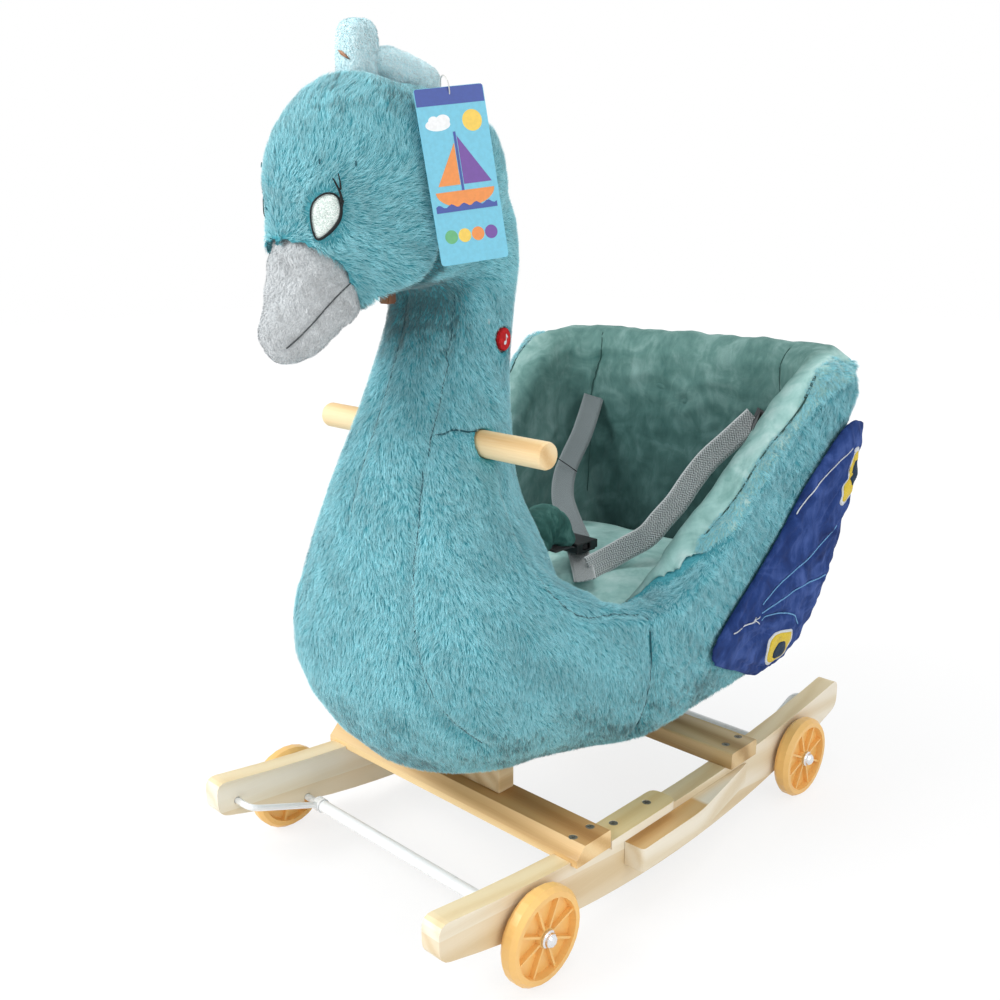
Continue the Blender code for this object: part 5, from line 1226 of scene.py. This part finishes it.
def build_straps(liner):
    thick = 0.0014
    route, turns = strap_route(NEAR_STRAP, 90)
    loop, loop_turns = strap_route(NEAR_LOOP, 24)
    near = woven("left_webbing", [(route, turns, 0.0255, thick), (loop, loop_turns, 0.0230, thick)], "web")
    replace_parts(near, "left_strap")
    route, turns = strap_route(FAR_STRAP, 90)
    start = 38
    lap = route[start:] + unit(to_camera(route[start:])) * 0.0017
    far = woven("right_webbing", [(route, turns, 0.0250, thick), (lap, turns[start:], 0.0258, thick)], "web_plain")
    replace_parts(far, "right_strap")
    slot = seen(liner, [(758, 407), (761, 411), (758, 421), (753, 431), (750, 431), (753, 419)])
    patch("strap_slot", slot, liner, 0.0008, 0.0005, "web_black", 3)
    lap_edge = [sight(px, py, 1.2895)[0] for px, py in ((556.5, 457.5), (567, 464.5), (577.5, 472))]
    piece("strap_lap", tube("strap_lap", spline(lap_edge, 12), 0.0006), "ink")


# Wings

# Stitched threads, bare grooves and eye spots of the wing, as places in the side view (y, z)
WING_LINES = (
    ("white_thread", 0.0007, ((0.2205, 0.4096), (0.1984, 0.3994), (0.1782, 0.3879), (0.1591, 0.3729),
                              (0.1480, 0.3615), (0.1395, 0.3500))),
    ("blue_thread", 0.0008, ((0.1060, 0.2600), (0.1137, 0.2677), (0.1342, 0.2806), (0.1530, 0.2910),
                             (0.1736, 0.2999), (0.1971, 0.3150), (0.2163, 0.3263))),
    ("blue_thread", 0.0008, ((0.1060, 0.2505), (0.1225, 0.2554), (0.1402, 0.2602), (0.1712, 0.2665),
                             (0.2014, 0.2682), (0.2130, 0.2700))),
    ("blue_thread", 0.0008, ((0.1068, 0.2437), (0.1231, 0.2450), (0.1474, 0.2411), (0.1685, 0.2332),
                             (0.1832, 0.2183))),
    ("white_thread", 0.0008, ((0.0644, 0.2399), (0.0814, 0.2429), (0.0990, 0.2458))),
    ("white_thread", 0.0006, ((0.0965, 0.2500), (0.1000, 0.2450), (0.1035, 0.2405))),
    ("white_thread", 0.0006, ((0.0975, 0.2425), (0.1005, 0.2455), (0.1045, 0.2500))),
)
WING_GROOVES = (((0.085, 0.215), (0.110, 0.222), (0.135, 0.222)), ((0.070, 0.250), (0.100, 0.290), (0.140, 0.335)),
                ((0.090, 0.200), (0.120, 0.185), (0.150, 0.172)), ((0.180, 0.340), (0.205, 0.365), (0.225, 0.380)))
SPOT_LOW = ((0.1719, 0.2153), (0.1611, 0.2184), (0.1429, 0.2199), (0.1354, 0.2123), (0.1372, 0.1969),
            (0.1480, 0.1794), (0.1606, 0.1738), (0.1746, 0.1772), (0.1823, 0.1903), (0.1796, 0.2042))
DROP_LOW = ((0.1674, 0.2028), (0.1556, 0.2039), (0.1531, 0.1945), (0.1592, 0.1835), (0.1689, 0.1829),
            (0.1746, 0.1902))
SPOT_HIGH = ((0.2230, 0.4080), (0.2160, 0.3938), (0.2115, 0.3756), (0.2078, 0.3636), (0.2093, 0.3501),
             (0.2200, 0.3480), (0.2330, 0.3600), (0.2430, 0.3760), (0.2440, 0.3930), (0.2360, 0.4060))
DROP_HIGH = ((0.2270, 0.3950), (0.2225, 0.3850), (0.2215, 0.3720), (0.2270, 0.3680), (0.2340, 0.3770),
             (0.2345, 0.3900))


def on_wing(tree, side, points):
    """Side-view places (y, z) put on the wing's outer face."""
    found = []
    for y, z in points:
        place = tree.ray_cast(Vector((side * 0.5, y, z)), Vector((-side, 0, 0)))[0]
        if place is None:
            place = tree.find_nearest(Vector((side * 0.21, y, z)))[0]
        found.append(np.array(place))
    return np.array(found)


def build_wings():
    for side, label in SIDES:
        mesh = remeshed(f"{label}_wing_velvet", (f"{label}_wing",), 0.0022, 2)
        points, normals, _ = triangles_of(mesh)
        bare = surface(points, mesh)
        routes = [route for _, _, route in WING_LINES] + list(WING_GROOVES)
        quilted = [on_wing(bare, side, spline(route, 24)) for route in routes]
        outer = smoothstep(side * normals[:, 0], 0.2, 0.7)[:, None]
        points = points + (pressed(points, normals, quilted, 0.0017, 0.0028) - points) * outer
        mirror = points * np.array([side, 1, 1])
        points += normals * outer * (0.0011 * waves(mirror, 0.022, 51) + 0.0007 * waves(mirror, 0.010, 52)
                                     + 0.0013 * waves(mirror, 0.05, 53))[:, None]
        moved(mesh, points)
        wing = piece(f"{label}_wing_velvet", mesh, "wing")
        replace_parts(wing, f"{label}_wing")
        tree = surface(points, mesh)
        for k, (material, radius, route) in enumerate(WING_LINES):
            stitch(f"{label}_wing_line_{k + 1}", on_wing(tree, side, spline(route, 50)), tree, 0.0007, radius,
                   material, after=6, flat=0.7)
        for k, (spot, drop) in enumerate(((SPOT_LOW, DROP_LOW), (SPOT_HIGH, DROP_HIGH))):
            name = f"{label}_wing_spot_{k + 1}"
            outline = on_wing(tree, side, spline(spot, 48, closed=True))
            centre = outline.mean(0)
            for part, material, scale, lift in (("edge", "white_thread", 1.0, 0.0005),
                                                ("disc", "yellow", 0.86, 0.0012)):
                patch(f"{name}_{part}", centre + (outline - centre) * scale, tree, lift, 0.0006, material)
            inner = on_wing(tree, side, spline(drop, 32, closed=True))
            patch(f"{name}_drop", inner, tree, 0.0020, 0.0006, "navy", 4)


# Tag, button, screws

TAG_FRAME = (Matrix.Translation((0.088, -0.2195, 0.737)) @ Matrix.Rotation(math.radians(65), 4, "Z")
             @ Matrix.Rotation(math.radians(-6), 4, "X") @ Matrix.Rotation(math.radians(-10), 4, "Y"))
TAG_HANG = TAG_FRAME @ Matrix.Rotation(math.radians(3), 4, "Y")


def flat_shape(name, outline, depth, thick, where, material, body):
    """A flat piece that lies on a face, its outline in the face's own x and z."""
    points = [(x, depth, z) for x, z in outline] + [(x, depth - thick, z) for x, z in outline]
    n = len(outline)
    faces = [tuple(range(n)), tuple(reversed(range(n, 2 * n)))]
    faces += [(k, k + n, (k + 1) % n + n, (k + 1) % n) for k in range(n)]
    mesh = refaced(mesh_from(name, points, faces))
    mesh.transform(where)
    piece(name, mesh, material, body, smooth=False)


def disc(x, z, rx, rz, turn=0.0, count=28, start=0.0, stop=360.0):
    """The outline of an ellipse, or of a part of it between two angles."""
    out = []
    for k in range(count):
        a = math.radians(start + (stop - start) * k / (count if stop - start >= 360 else count - 1))
        u, v = rx * math.cos(a), rz * math.sin(a)
        out.append((x + u * math.cos(turn) - v * math.sin(turn), z + u * math.sin(turn) + v * math.cos(turn)))
    return out


def build_tag():
    """A plain card with a generic sailing boat, a sun, a cloud, four dots and a dark blue top band."""
    mesh = NODES["hang_tag"].data.copy()
    mesh.transform(TAG_HANG @ TAG_FRAME.inverted())
    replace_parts(piece("tag_card", mesh, "card_blue", "tag", smooth=False), "hang_tag")
    shapes = (  # name, material, thickness, outline
        ("band", "card_navy", 0.00008, [(-0.0275, -0.0130), (0.0275, -0.0130), (0.0275, -0.0012), (0.0265, -0.0003),
                                        (-0.0265, -0.0003), (-0.0275, -0.0012)]),
        ("sun", "card_yellow", 0.00008, disc(0.0150, -0.026, 0.0080, 0.0080)),
        ("cloud_1", "card_white", 0.00012, disc(-0.0130, -0.027, 0.0100, 0.0045)),
        ("cloud_2", "card_white", 0.00016, disc(-0.0085, -0.0240, 0.0056, 0.0042)),
        ("cloud_3", "card_white", 0.00020, disc(-0.0160, -0.0240, 0.0042, 0.0035)),
        ("sail_1", "card_purple", 0.00008, [(0.0005, -0.036), (0.0005, -0.072), (0.0235, -0.072)]),
        ("sail_2", "card_orange", 0.00012, [(-0.0025, -0.041), (-0.0025, -0.072), (-0.0205, -0.072)]),
        ("mast", "card_navy", 0.00016, [(-0.0020, -0.033), (-0.0020, -0.079), (0.0000, -0.079), (0.0000, -0.033)]),
        ("hull", "card_orange", 0.00018, disc(0.0005, -0.0765, 0.0240, 0.0125, 0.0, 24, 180.0, 360.0)),
        ("sea", "card_navy", 0.00022, [(-0.0250 + 0.050 * k / 24, -0.0870 + 0.0013 * math.sin(k * 1.3))
                                       for k in range(25)] + [(0.0250, -0.0915), (-0.0250, -0.0915)]),
    ) + tuple((f"dot_{k + 1}", f"card_{colour}", 0.00008, disc(-0.0165 + 0.011 * k, -0.1100, 0.0052, 0.0052))
              for k, colour in enumerate(("green", "yellow", "orange", "purple")))
    for part, material, thick, outline in shapes:
        flat_shape(f"tag_print_{part}", outline, -0.0003, thick, TAG_HANG, material, "tag")


def build_button():
    """The felt button gets a plain white note on its face."""
    dress(NODES["sound_button"].data, "felt")
    turn = math.radians(15)
    out = Vector((math.cos(turn), math.sin(turn), 0))
    points, _, _ = triangles_of(NODES["sound_button"].data)
    axis = np.array(out)
    face = Vector(points.mean(0)) + out * float((points @ axis).max() - points.mean(0) @ axis + 0.0002)
    where = Matrix.Translation(face) @ Matrix.Rotation(turn + math.pi / 2, 4, "Z")
    note = (("head", disc(-0.0012, -0.0028, 0.0022, 0.0017, 0.4, 18)),
            ("stem", [(0.0002, -0.0024), (0.0010, -0.0024), (0.0010, 0.0046), (0.0002, 0.0046)]),
            ("flag", [(0.0010, 0.0046), (0.0010, 0.0026), (0.0036, 0.0004), (0.0032, 0.0022)]))
    for part, outline in note:
        flat_shape(f"button_mark_{part}", outline, 0.0, 0.0002, where, "white_thread", "button")


SCREW_X = 0.1605


def screw_head():
    """A countersunk head with a cross recess."""
    steps = 24
    points = [(r * math.cos(2 * math.pi * k / steps), r * math.sin(2 * math.pi * k / steps), z)
              for r, z in ((0.0042, 0.0), (0.0042, -0.0003), (0.0019, -0.0026)) for k in range(steps)]
    faces = ring_faces(3, steps) + [tuple(range(steps)), tuple(reversed(range(2 * steps, 3 * steps)))]
    obj = link(bpy.data.objects.new("screw", refaced(mesh_from("screw", points, faces))))
    cutters = []
    for wide, across in ((0.0026, 0.0005), (0.0005, 0.0026)):
        cube = bmesh.new()
        bmesh.ops.create_cube(cube, size=2.0, matrix=Matrix.Diagonal((wide, across, 0.0014, 1)))
        data = bpy.data.meshes.new("recess")
        cube.to_mesh(data)
        cube.free()
        cutters.append(link(bpy.data.objects.new("recess", data)))
        step = obj.modifiers.new("recess", "BOOLEAN")
        step.operation = "DIFFERENCE"
        step.object = cutters[-1]
    made = modified(obj, "screw")
    for cutter in cutters:
        bpy.data.objects.remove(cutter)
    return made


def build_screws():
    """Two screws at each end of a crossbar and two in each step, set a little below the wood."""
    head = screw_head()
    places = []
    for bar in ("front_crossbar", "rear_crossbar"):
        low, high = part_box(bar)
        for side in (-1, 1):
            for step in (-0.012, 0.012):
                places.append((side * SCREW_X, (low.y + high.y) / 2 + 0.003 + step, high.z))
    for side, label in SIDES:
        low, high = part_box(f"{label}_footrest")
        for step in (-0.026, 0.026):
            places.append((side * SCREW_X, (low.y + high.y) / 2 + step, high.z))
    for k, (x, y, z) in enumerate(places):
        mesh = head.copy()
        mesh.transform(Matrix.Translation((x, y, z - 0.0004)) @ Matrix.Rotation(0.7 * k, 4, "Z"))
        piece(f"screw_{k + 1}", mesh, "zinc", smooth=False)


# Material of each CAD node that stays in view, by the end of its name
FINISHES = {
    "footrest": "pine_step", "foot_plate": "pine_plate", "left_runner": "runner_left",
    "right_runner": "runner_right", "dowel": "pine_x", "front_crossbar": "brown_x", "rear_crossbar": "tan_x",
    "board": "ply", "axle": "white_steel", "sleeve": "white_steel", "arm": "white_steel", "cap": "bright",
    "wheel": "amber", "plug": "black", "socket": "black", "module": "grey_plastic", "loop": "grey_plastic",
}


def dress_nodes():
    for name, node in NODES.items():
        for ending, material in FINISHES.items():
            if name.endswith(ending):
                dress(node.data, material)


build_stage()
dress_nodes()
build_eyes(build_fur())
build_beak()
build_throat()
build_crest()
liner_skin = build_liner()
build_cushion()
build_crotch_tube()
build_straps(liner_skin)
build_wings()
build_tag()
build_button()
build_screws()
